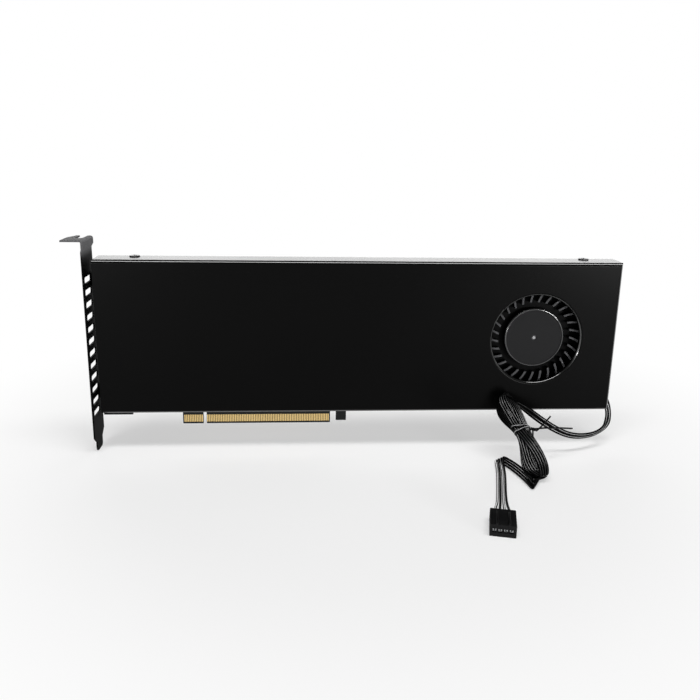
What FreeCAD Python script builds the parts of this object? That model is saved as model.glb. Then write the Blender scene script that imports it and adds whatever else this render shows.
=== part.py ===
import FreeCAD, Part
import math
import os
import re

import Sketcher
from FreeCAD import Rotation, Vector

# A full-height drive adapter card that stands upright in an expansion slot.
# X runs along the card away from the bracket, the component side faces -Y, and Z is up.
# The origin is at the edge tongue's key notch, on the tongue's lower edge, in the board's mid-plane.

DIMENSIONS = (
    # circuit board
    ("board_thickness", 1.57),
    ("board_left", -57.3),
    ("board_right", 234),
    ("board_top", 95.4),
    ("tongue_height", 8.25),
    ("tongue_short", 11.65),
    ("tongue_long", 71.65),
    ("tongue_bevel", 0.5),
    ("key_width", 1.9),
    ("key_height", 7.5),
    ("foot_right", -41),
    ("foot_bottom", 6),
    ("hook_left", 76),
    ("hook_right", 82),
    ("hook_bottom", 1.5),
    ("contact_pitch", 1),
    ("contact_width", 0.7),
    ("contact_low", 1.3),
    ("contact_high", 5.6),
    ("contact_thickness", 0.05),
    # folded cover
    ("cover_left", -55.7),
    ("cover_length", 291.2),
    ("cover_bottom", 10.6),
    ("cover_height", 87),
    ("cover_front", 11.4),
    ("cover_back", 4.2),
    ("cover_lip_back", 1.2),
    ("sheet_gauge", 0.8),
    ("fold_radius", 2),
    ("cover_screw_left", -35.5),
    ("cover_screw_right", 216.9),
    ("cover_screw_back", 1.3),
    ("cover_screw_radius", 1.25),
    ("cover_screw_head", 2.9),
    ("cover_screw_rise", 0.6),
    ("cover_screw_reach", 1.9),
    # how far a cut runs past the face that it opens
    ("overcut", 1),
    # blower inlet and its axis
    ("fan_x", 188.9),
    ("fan_z", 53.6),
    ("inlet_radius", 27),
    ("throat_radius", 25.4),
    ("throat_depth", 2.2),
    # bracket
    ("bracket_x", -58.8),
    ("bracket_gauge", 0.9),
    ("bracket_near", -15.5),
    ("bracket_far", 2.95),
    ("bracket_bottom", -11.8),
    ("bracket_height", 120),
    ("tab_depth", 11.4),
    ("tab_near", -14.2),
    ("tab_far", 6.8),
    ("tab_corner_start", 12.5),
    ("tab_corner_depth", 2.4),
    ("tab_corner_end", 1.6),
    ("bend_inside", 0.5),
    ("near_neck_low", 6.2),
    ("near_neck_high", 4.9),
    ("far_neck_low", 5.4),
    ("far_neck_high", 3.9),
    ("notch_width", 4.4),
    ("notch_from_blade", 2.6),
    ("notch_end", -4.5),
    ("tail_near", -11.5),
    ("tail_far", -1.3),
    ("tail_shoulder", -6.25),
    ("tail_taper", -2.75),
    ("tail_corner", 2),
    ("vent_near", -13.8),
    ("vent_far", -1.8),
    ("vent_low", 9.45),
    ("vent_height", 3.5),
    ("vent_pitch", 6.86),
    ("vent_count", 12),
    ("vent_corner", 1.1),
    ("lug_length", 9),
    ("lug_height", 8),
    ("lug_low", 20),
    ("lug_high", 85),
    ("lug_screw_x", 4.4),
    ("lug_head_radius", 2.4),
    ("lug_head_rise", 1.5),
    # standoffs, back plate and their screws
    ("standoff_radius", 2.25),
    ("screw_radius", 1.25),
    ("hole_radius", 1.3),
    ("row_low", 17),
    ("row_high", 88.3),
    ("column_left", -44),
    ("column_middle", 46.5),
    ("column_right", 144),
    ("back_flange", 4.9),
    ("back_fold_radius", 0.7),
    ("back_inset", 0.5),
    ("fit_gap", 0.05),
    ("back_head_radius", 2.3),
    ("back_head_rise", 1),
    ("back_screw_reach", 4.5),
    ("fan_screw_reach", 4.2),
    # blower motor and impeller, depths measured from the board's mid-plane to the front
    ("frame_left", 38),
    ("frame_right", 40),
    ("frame_half_height", 41),
    ("frame_floor", 1.985),
    ("frame_boss_x", 28),
    ("frame_boss_z", 37.6),
    ("frame_root", 0.2),
    ("boss_radius", 3),
    ("boss_front", 5.2),
    ("boss_hole_front", 4.6),
    ("tube_wall", 1),
    ("tube_front", 5.4),
    ("seat_back", 1.2),
    ("seat_front", 6),
    ("scroll_radius", 35.4),
    ("scroll_growth", 1.5),
    ("scroll_wall", 1.2),
    ("scroll_front", 10.3),
    ("bearing_bore", 1.04),
    ("bearing_radius", 3),
    ("bearing_back", 2.3),
    ("bearing_front", 5.5),
    ("driver_radius", 14),
    ("driver_gauge", 0.7),
    ("stator_back", 3.3),
    ("stator_front", 5.6),
    ("yoke_radius", 5.8),
    ("pole_width", 2.6),
    ("shoe_inner", 11.7),
    ("shoe_radius", 13.3),
    ("shoe_width", 10.4),
    ("coil_start", 6.9),
    ("coil_length", 4.4),
    ("coil_width", 4.6),
    ("coil_depth", 3.1),
    ("coil_wall", 0.35),
    ("shaft_radius", 1),
    ("shaft_back", 1.5),
    ("shaft_front", 7.2),
    ("clip_radius", 2),
    ("clip_bore", 0.75),
    ("clip_back", 1.75),
    ("clip_front", 2),
    ("clip_play", 0.02),
    ("groove_radius", 0.72),
    ("cup_gauge", 0.6),
    ("cup_back", 3.1),
    ("cup_sunk", 0.5),
    ("cup_boss_radius", 2.6),
    ("cup_boss_back", 1.5),
    ("magnet_bore", 13.65),
    ("magnet_back", 3.2),
    ("magnet_front", 6.2),
    ("hub_radius", 17.2),
    ("hub_front", 7.4),
    ("hub_wall", 1.2),
    ("hub_face", 0.48),
    ("hub_rim", 0.8),
    ("hub_hole", 1.5),
    ("rim_width", 1.2),
    ("rim_rise", 0.25),
    ("web_front", 3),
    ("web_back", 2.4),
    ("impeller_radius", 33),
    ("blade_inner", 20.8),
    ("blade_inset", 0.2),
    ("blade_root", 0.4),
    ("blade_front", 7),
    ("blade_count", 29),
    ("blade_gauge", 1.1),
    ("blade_lean", 16),
    ("blade_curl", 12),
    # drive sockets, their posts, chip and heat sink
    ("socket_depth", 7),
    ("socket_width", 22),
    ("socket_front", 5),
    ("socket_left_face", 22),
    ("socket_right_face", 71),
    ("mouth_depth", 4.5),
    ("mouth_width", 20),
    ("mouth_back", 2.7),
    ("mouth_front", 3.9),
    ("socket_key_low", 5.6),
    ("socket_key_high", 6.6),
    ("drive_reach", 75.5),
    ("drive_row_low", 34),
    ("drive_row_high", 74),
    ("post_radius", 2.6),
    ("post_bore", 1.1),
    ("post_front", 3.4),
    ("drive_head_radius", 2.2),
    ("drive_head_rise", 0.9),
    ("drive_screw_radius", 1),
    ("drive_screw_back", 1),
    ("chip_x", 46.5),
    ("chip_z", 54),
    ("chip_side", 27),
    ("chip_front", 2),
    ("lid_side", 20),
    ("lid_front", 3.2),
    ("pad_front", 3.6),
    ("sink_width", 31),
    ("sink_height", 60),
    ("sink_base_front", 5.1),
    ("sink_front", 10.2),
    ("fin_root", 0.2),
    ("fin_gauge", 0.9),
    ("fin_count", 18),
    # power parts along the lower edge
    ("power_pitch", 9),
    ("inductor_left", -34),
    ("inductor_rise", 3),
    ("inductor_bevel", 0.5),
    ("capacitor_left", 92),
    ("power_half", 3.3),
    ("can_base_rise", 1.2),
    ("can_radius", 3.1),
    ("can_front", 6.3),
    # fan lead, its plug and its tie
    ("ribbon_width", 4.3),
    ("ribbon_thickness", 1.05),
    ("ribbon_room", 0.8),
    ("lead_radius", 1.1),
    ("lead_slot_low", 11.9),
    ("lead_slot_high", 19.1),
    ("lead_slot_near", -2.5),
    ("lead_slot_far", -0.4),
    ("hank_lobe", 7.8),
    ("hank_waist", 3.4),
    ("hank_half_width", 3.2),
    ("tie_wire", 0.5),
    ("tie_gauge", 0.95),
    ("plug_length", 16),
    ("plug_width", 12.1),
    ("plug_height", 6),
    ("rib_start", 4),
    ("rib_width", 1),
    ("rib_rise", 0.9),
    ("rib_root", 0.5),
    ("rib_apart", 5.6),
    ("pin_pitch", 2.54),
    ("cavity_depth", 9),
    ("cavity_side", 1.9),
    ("terminal_side", 1.5),
    ("terminal_inset", 1),
    ("terminal_bore", 0.8),
    ("terminal_bore_depth", 6),
)

doc = FreeCAD.newDocument("drive_adapter_card")
sheet = doc.addObject("Spreadsheet::Sheet", "dim")
for line, (alias, number) in enumerate(DIMENSIONS, start=1):
    sheet.set(f"A{line}", alias)
    sheet.set(f"B{line}", str(number))
    sheet.setAlias(f"B{line}", alias)
doc.recompute()

ALIASES = {alias for alias, number in DIMENSIONS}
NODES = {}


# Formulas on the sheet's cells
def qualified(formula):
    def named(word):
        return f"dim.{word.group()}" if word.group() in ALIASES else word.group()

    return re.sub(r"[a-z_]+", named, str(formula))


def value(formula):
    return float(doc.dim.evalExpression(str(formula)))


def bind(feature, **formulas):
    for name, formula in formulas.items():
        feature.setExpression(name, qualified(formula))


def base_at(feature, x, y, z):
    for axis, formula in zip("xyz", (x, y, z)):
        feature.setExpression(f".Placement.Base.{axis}", qualified(formula))


def node(feature, label):
    feature.Label = label
    NODES[label] = feature
    return feature


# Part primitives with bound sizes
def block(name, x, y, z):
    box = doc.addObject("Part::Box", name)
    bind(box, Length=f"({x[1]}) - ({x[0]})", Width=f"({y[1]}) - ({y[0]})", Height=f"({z[1]}) - ({z[0]})")
    base_at(box, x[0], y[0], z[0])
    return box


def disc(name, radius, back, front, x, z):
    """A cylinder along -Y, between two depths in front of the board's mid-plane."""
    cylinder = doc.addObject("Part::Cylinder", name)
    bind(cylinder, Radius=radius, Height=f"({front}) - ({back})")
    cylinder.Placement.Rotation = Rotation(Vector(1, 0, 0), 90)
    base_at(cylinder, x, f"-({back})", z)
    return cylinder


def fused(name, *pieces):
    fuse = doc.addObject("Part::MultiFuse", name)
    fuse.Shapes = list(pieces)
    fuse.Refine = True
    return fuse


def cut(name, whole, *tools):
    remaining = whole
    for count, tool in enumerate(tools):
        step = doc.addObject("Part::Cut", f"{name}_cut{count}")
        step.Base = remaining
        step.Tool = tool
        remaining = step
    return remaining


def ring(name, outer, inner, back, front, x, z):
    hole = disc(f"{name}_bore", inner, f"({back}) - overcut", f"({front}) + overcut", x, z)
    return cut(name, disc(f"{name}_outer", outer, back, front, x, z), hole)


def group(label, template, places):
    """Copies of one finished piece, as separate solids in one node."""
    doc.recompute()
    copies = doc.addObject("Part::Feature", f"{label}_group")
    moved = [solid.translated(Vector(*place)) for place in places for solid in template.Shape.Solids]
    copies.Shape = Part.makeCompound(moved)
    return node(copies, label)


def formed(label, shape):
    feature = doc.addObject("Part::Feature", f"{label}_form")
    feature.Shape = shape
    return node(feature, label)


# PartDesign bodies with bound sketches
def sketch_on(body, role, name, lift="0", along="0", across="0"):
    plane = next(feature for feature in body.Origin.OriginFeatures if feature.Role == role)
    drawing = body.newObject("Sketcher::SketchObject", name)
    drawing.AttachmentSupport = [(plane, "")]
    drawing.MapMode = "FlatFace"
    for axis, formula in zip("xyz", (along, across, lift)):
        drawing.setExpression(f".AttachmentOffset.Base.{axis}", qualified(formula))
    return drawing


def pin_point(drawing, geometry, end, name, x, y):
    for kind, formula in (("DistanceX", x), ("DistanceY", y)):
        drawing.addConstraint(Sketcher.Constraint(kind, -1, 1, geometry, end, value(formula)))
        drawing.renameConstraint(drawing.ConstraintCount - 1, f"{name}_{kind[-1]}")
        drawing.setExpression(f"Constraints.{name}_{kind[-1]}", qualified(formula))


def outline(drawing, corners):
    """A closed outline whose corners are pairs of formulas."""
    first = drawing.GeometryCount
    points = [Vector(value(x), value(y), 0) for x, y in corners]
    for start, end in zip(points, points[1:] + points[:1]):
        drawing.addGeometry(Part.LineSegment(start, end))
    for count, (x, y) in enumerate(corners):
        line = first + count
        before = first + (count - 1) % len(corners)
        drawing.addConstraint(Sketcher.Constraint("Coincident", before, 2, line, 1))
        pin_point(drawing, line, 1, f"corner{line}", x, y)


def rectangle(drawing, left, low, right, high):
    outline(drawing, ((left, low), (right, low), (right, high), (left, high)))


def circle(drawing, radius, x, y):
    number = drawing.addGeometry(Part.Circle(Vector(value(x), value(y), 0), Vector(0, 0, 1), value(radius)))
    pin_point(drawing, number, 3, f"centre{number}", x, y)
    drawing.addConstraint(Sketcher.Constraint("Radius", number, value(radius)))
    drawing.renameConstraint(drawing.ConstraintCount - 1, f"radius{number}")
    drawing.setExpression(f"Constraints.radius{number}", qualified(radius))


def pad(body, drawing, length):
    feature = body.newObject("PartDesign::Pad", f"{drawing.Name}_pad")
    feature.Profile = drawing
    bind(feature, Length=length)
    return feature


def pocket(body, drawing, length=None, upward=False):
    feature = body.newObject("PartDesign::Pocket", f"{drawing.Name}_pocket")
    feature.Profile = drawing
    feature.Reversed = upward
    if length is None:
        feature.Type = "ThroughAll"
    else:
        bind(feature, Length=length)
    return feature


def revolved(body, drawing):
    feature = body.newObject("PartDesign::Revolution", f"{drawing.Name}_turn")
    feature.Profile = drawing
    feature.ReferenceAxis = (drawing, ["V_Axis"])
    feature.Angle = 360
    return feature


def rounded(body, radius, wanted, kind="PartDesign::Fillet"):
    """Rounds or bevels the edges of the body's tip whose midpoint and direction are wanted."""
    doc.recompute()
    tip = body.Tip
    names = []
    for count, edge in enumerate(tip.Shape.Edges, start=1):
        middle = edge.valueAt((edge.FirstParameter + edge.LastParameter) / 2)
        along = edge.tangentAt((edge.FirstParameter + edge.LastParameter) / 2)
        if wanted(middle, along):
            names.append(f"Edge{count}")
    feature = body.newObject(kind, f"{body.Name}_edges")
    feature.Base = (tip, names)
    bind(feature, **{"Size" if kind.endswith("Chamfer") else "Radius": radius})
    return feature


def near(a, b):
    return abs(a - b) < 0.01


HALF_BOARD = "board_thickness / 2"
COVER_RIGHT = "cover_left + cover_length"
COVER_TOP = "cover_bottom + cover_height"
TAB_TOP = "bracket_bottom + bracket_height"
STANDOFF_PLACES = [
    (x, z)
    for x in ("column_left", "column_middle", "column_right")
    for z in ("row_low", "row_high")
]
LUG_PLACES = [("bracket_x + lug_screw_x", "lug_low"), ("bracket_x + lug_screw_x", "lug_high")]
BOSS_PLACES = [
    ("fan_x + frame_boss_x", "fan_z + frame_boss_z"),
    ("fan_x + frame_boss_x", "fan_z - frame_boss_z"),
    ("fan_x - frame_boss_x", "fan_z + frame_boss_z"),
]


def moves(places):
    return [(value(x), 0, value(z)) for x, z in places]


# Circuit board with its edge tongue, key notch and retention hook
board = doc.addObject("PartDesign::Body", "board")
board_plan = sketch_on(board, "XZ_Plane", "board_plan", lift=f"-{HALF_BOARD}")
outline(board_plan, (
    ("board_left", "foot_bottom"),
    ("foot_right", "foot_bottom"),
    ("foot_right", "tongue_height"),
    ("-key_width / 2 - tongue_short", "tongue_height"),
    ("-key_width / 2 - tongue_short", "0"),
    ("-key_width / 2", "0"),
    ("-key_width / 2", "key_height"),
    ("key_width / 2", "key_height"),
    ("key_width / 2", "0"),
    ("key_width / 2 + tongue_long", "0"),
    ("key_width / 2 + tongue_long", "tongue_height"),
    ("hook_left", "tongue_height"),
    ("hook_left", "hook_bottom"),
    ("hook_right", "hook_bottom"),
    ("hook_right", "tongue_height"),
    ("board_right", "tongue_height"),
    ("board_right", "board_top"),
    ("board_left", "board_top"),
))
pad(board, board_plan, "board_thickness")
rounded(board, "tongue_bevel", lambda p, d: near(p.z, 0) and abs(d.x) > 0.9, "PartDesign::Chamfer")
board_holes = sketch_on(board, "XZ_Plane", "board_holes", lift=HALF_BOARD)
for hole_x, hole_z in STANDOFF_PLACES + LUG_PLACES + BOSS_PLACES:
    circle(board_holes, "hole_radius", hole_x, hole_z)
pocket(board, board_holes)
node(board, "circuit_board")

# Edge contacts, one row on each face
SHORT_ROW = 11
LONG_ROW = 71
contact_x = [-1.5 * value("contact_pitch") - count * value("contact_pitch") for count in range(SHORT_ROW)]
contact_x += [1.5 * value("contact_pitch") + count * value("contact_pitch") for count in range(LONG_ROW)]
contact = block(
    "contact",
    ("-contact_width / 2", "contact_width / 2"),
    (f"-{HALF_BOARD} - contact_thickness", f"-{HALF_BOARD}"),
    ("contact_low", "contact_high"),
)
group("edge_contacts_front", contact, [(x, 0, 0) for x in contact_x])
to_back = value("board_thickness + contact_thickness")
group("edge_contacts_back", contact, [(x, to_back, 0) for x in contact_x])

# Bracket: blade, bent tab with its screw notch, tapered tail, vents and two lugs
bracket = doc.addObject("PartDesign::Body", "bracket_sheet")
fold = sketch_on(bracket, "XZ_Plane", "bracket_fold", lift="-tab_far")
outline(fold, (
    ("bracket_x", "bracket_bottom"),
    ("bracket_x", TAB_TOP),
    ("bracket_x - tab_depth", TAB_TOP),
    ("bracket_x - tab_depth", f"{TAB_TOP} - bracket_gauge"),
    ("bracket_x - bracket_gauge", f"{TAB_TOP} - bracket_gauge"),
    ("bracket_x - bracket_gauge", "bracket_bottom"),
))
pad(bracket, fold, "tab_far - bracket_near")
rounded(bracket, "bracket_gauge + bend_inside",
        lambda p, d: near(p.x, value("bracket_x")) and near(p.z, value(TAB_TOP)))
rounded(bracket, "bend_inside", lambda p, d: near(p.x, value("bracket_x - bracket_gauge")) and abs(d.y) > 0.9
        and near(p.z, value(f"{TAB_TOP} - bracket_gauge")))
trim = sketch_on(bracket, "YZ_Plane", "bracket_trim")
outline(trim, (
    ("bracket_near - overcut", f"{TAB_TOP} - near_neck_low"),
    ("bracket_near", f"{TAB_TOP} - near_neck_low"),
    ("tab_near", f"{TAB_TOP} - near_neck_high"),
    ("tab_near", f"{TAB_TOP} + overcut"),
    ("bracket_near - overcut", f"{TAB_TOP} + overcut"),
))
outline(trim, (
    ("tail_far", "bracket_bottom - overcut"),
    ("tab_far + overcut", "bracket_bottom - overcut"),
    ("tab_far + overcut", f"{TAB_TOP} - far_neck_high"),
    ("tab_far", f"{TAB_TOP} - far_neck_high"),
    ("bracket_far", f"{TAB_TOP} - far_neck_low"),
    ("bracket_far", "tail_taper"),
    ("tail_far", "tail_shoulder"),
))
outline(trim, (
    ("bracket_near - overcut", "bracket_bottom - overcut"),
    ("tail_near", "bracket_bottom - overcut"),
    ("tail_near", "tail_shoulder"),
    ("bracket_near", "tail_taper"),
    ("bracket_near - overcut", "tail_taper"),
))
pocket(bracket, trim)
tab_trim = sketch_on(bracket, "XY_Plane", "tab_trim")
rectangle(tab_trim, "bracket_x - notch_from_blade - notch_width", "notch_end", "bracket_x - notch_from_blade",
          "tab_far + overcut")
outline(tab_trim, (
    ("bracket_x - tab_depth - overcut", "tab_near + tab_corner_start"),
    ("bracket_x - tab_depth", "tab_near + tab_corner_start"),
    ("bracket_x - tab_depth + tab_corner_depth", "tab_far - tab_corner_end"),
    ("bracket_x - tab_depth + tab_corner_depth", "tab_far + overcut"),
    ("bracket_x - tab_depth - overcut", "tab_far + overcut"),
))
pocket(bracket, tab_trim, upward=True)
rounded(bracket, "notch_width / 2 - fit_gap", lambda p, d: abs(d.z) > 0.9 and near(p.y, value("notch_end"))
        and p.x < value("bracket_x - overcut"))
rounded(bracket, "tail_corner", lambda p, d: abs(d.x) > 0.9 and near(p.z, value("bracket_bottom")))
vent = sketch_on(bracket, "YZ_Plane", "bracket_vent")
rectangle(vent, "vent_near", "vent_low", "vent_far", "vent_low + vent_height")
vent_cut = pocket(bracket, vent)
vents = bracket.newObject("PartDesign::LinearPattern", "bracket_vents")
vents.Originals = [vent_cut]
vents.Direction = (vent, ["V_Axis"])
vents.Occurrences = int(value("vent_count"))
bind(vents, Length="vent_pitch * (vent_count - 1)")
bracket.Tip = vents
rounded(bracket, "vent_corner", lambda p, d: abs(d.x) > 0.9 and p.z > value("vent_low - fit_gap")
        and (near(p.y, value("vent_near")) or near(p.y, value("vent_far"))))
lugs = sketch_on(bracket, "XZ_Plane", "bracket_lugs", lift=f"-{HALF_BOARD} - bracket_gauge")
for lug_z in ("lug_low", "lug_high"):
    rectangle(lugs, "bracket_x - bracket_gauge / 2", f"{lug_z} - lug_height / 2", "bracket_x + lug_length",
              f"{lug_z} + lug_height / 2")
pad(bracket, lugs, "bracket_gauge")
lug_holes = sketch_on(bracket, "XZ_Plane", "lug_holes")
for hole_x, hole_z in LUG_PLACES:
    circle(lug_holes, "hole_radius", hole_x, hole_z)
pocket(bracket, lug_holes)
node(bracket, "bracket")


# Pan-head screws
def screw(name, head_radius, head_height, tip, face, x="0", z="0"):
    """A screw whose head stands in front of the depth face, with its shank running back to the depth tip."""
    head = disc(f"{name}_head", head_radius, face, f"({face}) + {head_height}", x, z)
    shank = disc(f"{name}_shank", "screw_radius", tip, f"({face}) + {head_height} / 2", x, z)
    return fused(name, head, shank)


lug_back = f"-{HALF_BOARD} - bracket_gauge"
lug_screw = screw("lug_screw", "lug_head_radius", "lug_head_rise", lug_back, HALF_BOARD)
group("bracket_screws", lug_screw, moves(LUG_PLACES))

# Cover: a folded tray, open at the bracket end, with a drawn inlet
cover = doc.addObject("PartDesign::Body", "cover")
cover_plan = sketch_on(cover, "XZ_Plane", "cover_plan", lift="-cover_back")
rectangle(cover_plan, "cover_left", "cover_bottom", COVER_RIGHT, COVER_TOP)
pad(cover, cover_plan, "cover_front + cover_back")
def on_front_edges(depth):
    """The front edges of the tray at this depth, apart from the open one at the bracket."""
    return lambda p, d: near(p.y, -value(depth)) and p.x > value("cover_left + overcut")


rounded(cover, "fold_radius", on_front_edges("cover_front"))
hollow = sketch_on(cover, "XZ_Plane", "cover_hollow", lift="cover_front - sheet_gauge")
rectangle(hollow, "cover_left - overcut", "cover_bottom + sheet_gauge", f"{COVER_RIGHT} - sheet_gauge",
          f"{COVER_TOP} - sheet_gauge")
pocket(cover, hollow)
rounded(cover, "fold_radius - sheet_gauge", on_front_edges("cover_front - sheet_gauge"))
slot_for_board = sketch_on(cover, "XZ_Plane", "cover_lip", lift="cover_lip_back")
rectangle(slot_for_board, "cover_left - overcut", "cover_bottom - overcut", f"{COVER_RIGHT} - sheet_gauge",
          "cover_bottom + sheet_gauge + fit_gap")
pocket(cover, slot_for_board)
inlet = sketch_on(cover, "XZ_Plane", "cover_inlet", lift="cover_front + overcut")
circle(inlet, "inlet_radius", "fan_x", "fan_z")
pocket(cover, inlet, "sheet_gauge + 2 * overcut")
lip = sketch_on(cover, "XY_Plane", "inlet_lip", lift="fan_z", along="fan_x")
bend = value("inlet_radius - throat_radius")
face_y = -value("cover_front")
lip_end = face_y + value("throat_depth")
gauge = value("sheet_gauge")
lip_corners = [
    Vector(value("inlet_radius"), face_y, 0),
    Vector(value("throat_radius"), face_y + bend, 0),
    Vector(value("throat_radius"), lip_end, 0),
    Vector(value("throat_radius") + gauge, lip_end, 0),
    Vector(value("throat_radius") + gauge, face_y + bend, 0),
    Vector(value("inlet_radius"), face_y + gauge, 0),
]
bend_centre = Vector(value("inlet_radius"), face_y + bend, 0)


def bend_arc(start, radius, end):
    middle = bend_centre + Vector(-1, -1, 0) * (radius / math.sqrt(2))
    return Part.Arc(start, middle, end)


lip.addGeometry(bend_arc(lip_corners[0], bend, lip_corners[1]))
for start, end in zip(lip_corners[1:4], lip_corners[2:5]):
    lip.addGeometry(Part.LineSegment(start, end))
lip.addGeometry(bend_arc(lip_corners[4], bend - gauge, lip_corners[5]))
lip.addGeometry(Part.LineSegment(lip_corners[5], lip_corners[0]))
revolved(cover, lip)
top_holes = sketch_on(cover, "XY_Plane", "cover_top_holes")
for hole_x in ("cover_screw_left", "cover_screw_right"):
    circle(top_holes, "cover_screw_radius + 3 * fit_gap", hole_x, "cover_screw_back")
pocket(cover, top_holes, upward=True)
lead_slot = sketch_on(cover, "YZ_Plane", "cover_lead_slot")
rectangle(lead_slot, "lead_slot_near", "lead_slot_low", "lead_slot_far", "lead_slot_high")
pocket(cover, lead_slot, upward=True)
node(cover, "shroud")

# Cover screws on the top flange, heads up
cover_head = doc.addObject("Part::Cylinder", "cover_head")
bind(cover_head, Radius="cover_screw_head", Height="cover_screw_rise")
base_at(cover_head, "0", "cover_screw_back", COVER_TOP)
cover_shank = doc.addObject("Part::Cylinder", "cover_shank")
bind(cover_shank, Radius="cover_screw_radius", Height="cover_screw_reach + cover_screw_rise / 2")
base_at(cover_shank, "0", "cover_screw_back", f"{COVER_TOP} - cover_screw_reach")
cover_screw = fused("cover_screw", cover_head, cover_shank)
group("cover_screws", cover_screw, [(value("cover_screw_left"), 0, 0), (value("cover_screw_right"), 0, 0)])

# Back plate: a shallow channel behind the board
back = doc.addObject("PartDesign::Body", "back")
channel = sketch_on(back, "YZ_Plane", "back_channel", lift="cover_left + back_inset")
inner_back = "cover_back - sheet_gauge"
under_cover = f"{COVER_TOP} - sheet_gauge - fit_gap"
behind_board = f"{HALF_BOARD} + 5 * fit_gap"
outline(channel, (
    ("cover_back", "cover_bottom"),
    ("cover_back", under_cover),
    (f"{inner_back} - back_flange", under_cover),
    (f"{inner_back} - back_flange", f"{under_cover} - sheet_gauge"),
    (inner_back, f"{under_cover} - sheet_gauge"),
    (inner_back, "cover_bottom + sheet_gauge"),
    (behind_board, "cover_bottom + sheet_gauge"),
    (behind_board, "cover_bottom"),
))
pad(back, channel, "cover_length - sheet_gauge - back_inset - 2 * fit_gap")
rounded(back, "back_fold_radius", lambda p, d: abs(d.x) > 0.9 and near(p.y, value("cover_back")))
back_holes = sketch_on(back, "XZ_Plane", "back_holes")
for hole_x, hole_z in STANDOFF_PLACES + BOSS_PLACES:
    circle(back_holes, "hole_radius", hole_x, hole_z)
pocket(back, back_holes)
flange_holes = sketch_on(back, "XY_Plane", "flange_holes", lift="board_top")
for hole_x in ("cover_screw_left", "cover_screw_right"):
    circle(flange_holes, "cover_screw_radius + fit_gap", hole_x, "cover_screw_back")
pocket(back, flange_holes, upward=True)
node(back, "back_plate")

# Standoffs, spacers and screws that hold cover, board and back plate together
inner_front = "cover_front - sheet_gauge"
standoff = ring("standoff", "standoff_radius", "hole_radius", HALF_BOARD, inner_front, "0", "0")
group("shroud_standoffs", standoff, moves(STANDOFF_PLACES))
spacer = ring("spacer", "standoff_radius", "hole_radius", f"-({inner_back})", f"-{HALF_BOARD}", "0", "0")
group("back_spacers", spacer, moves(STANDOFF_PLACES + BOSS_PLACES))


def back_screw(name, reach):
    head = disc(f"{name}_head", "back_head_radius", "-cover_back - back_head_rise", "-cover_back", "0", "0")
    shank = disc(f"{name}_shank", "screw_radius", "-cover_back - back_head_rise / 2", reach, "0", "0")
    return fused(name, head, shank)


group("back_screws", back_screw("back_screw", "back_screw_reach"), moves(STANDOFF_PLACES))
group("fan_screws", back_screw("fan_screw", "fan_screw_reach"), moves(BOSS_PLACES))

# Blower frame: floor plate, bearing tube, screw bosses and a scroll that opens towards the bracket
floor = block(
    "frame_plate",
    ("fan_x - frame_left", "fan_x + frame_right"),
    ("-frame_floor", f"-{HALF_BOARD}"),
    ("fan_z - frame_half_height", "fan_z + frame_half_height"),
)
FRAME_ROOT = "frame_floor - frame_root"
tube = disc("bearing_tube", "bearing_radius + tube_wall", FRAME_ROOT, "tube_front", "fan_x", "fan_z")
bosses = [
    disc(f"frame_boss{count}", "boss_radius", FRAME_ROOT, "boss_front", x, z)
    for count, (x, z) in enumerate(BOSS_PLACES)
]
boss_holes = [
    disc(f"frame_boss_hole{count}", "hole_radius", "0", "boss_hole_front", x, z)
    for count, (x, z) in enumerate(BOSS_PLACES)
]
bearing_seat = disc("bearing_seat", "bearing_radius", "seat_back", "seat_front", "fan_x", "fan_z")


def scroll_face():
    """Three quarter turns of growing radius, then a straight run to the outlet, with an even wall."""
    growth = value("scroll_growth")
    wall = value("scroll_wall")
    radii = [value("scroll_radius") + growth * count for count in range(3)]
    centres = [Vector(0, 0, 0), Vector(0, 0, -growth), Vector(-growth, 0, -growth)]
    quarters = [(180, 90), (90, 0), (0, -90)]

    def on_circle(count, extra, degrees):
        turn = math.radians(degrees)
        return centres[count] + Vector(math.cos(turn), 0, math.sin(turn)) * (radii[count] + extra)

    def side(extra):
        arcs = []
        for count, (start, end) in enumerate(quarters):
            stops = [on_circle(count, extra, degrees) for degrees in (start, (start + end) / 2, end)]
            arcs.append(Part.Arc(*stops).toShape())
        low = on_circle(2, extra, -90)
        outlet = Vector(-value("frame_left"), 0, low.z)
        return arcs + [Part.makeLine(low, outlet)], outlet

    inner, inner_outlet = side(0)
    outer, outer_outlet = side(wall)
    tongue = Part.Arc(
        on_circle(0, wall, 180), on_circle(0, wall / 2, 180) - Vector(0, 0, wall / 2), on_circle(0, 0, 180)
    ).toShape()
    edges = inner + [Part.makeLine(inner_outlet, outer_outlet)] + outer + [tongue]
    return Part.Face(Part.Wire(Part.__sortEdges__(edges)))


scroll = doc.addObject("Part::Feature", "frame_scroll")
scroll.Shape = scroll_face().extrude(Vector(0, value(f"{FRAME_ROOT} - scroll_front"), 0))
scroll.Placement.Base = Vector(value("fan_x"), -value(FRAME_ROOT), value("fan_z"))

# Direction of the lead inside the card, from the blower's axis to its slot in the end wall
slot_drop = value("fan_z - (lead_slot_low + lead_slot_high) / 2")
slot_reach = value(f"{COVER_RIGHT} - fan_x")
lead_run = math.hypot(slot_drop, slot_reach)
ribbon_turn = Rotation(Vector(0, 1, 0), math.degrees(math.atan2(slot_drop, slot_reach)))
# Distances from the blower's axis along the lead
LEAD_START = 12.2
LEAD_OUT = 1.4
GROOVE = (12.0, 64.0)
MOUSE_HOLE = (33.0, 43.0)


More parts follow.
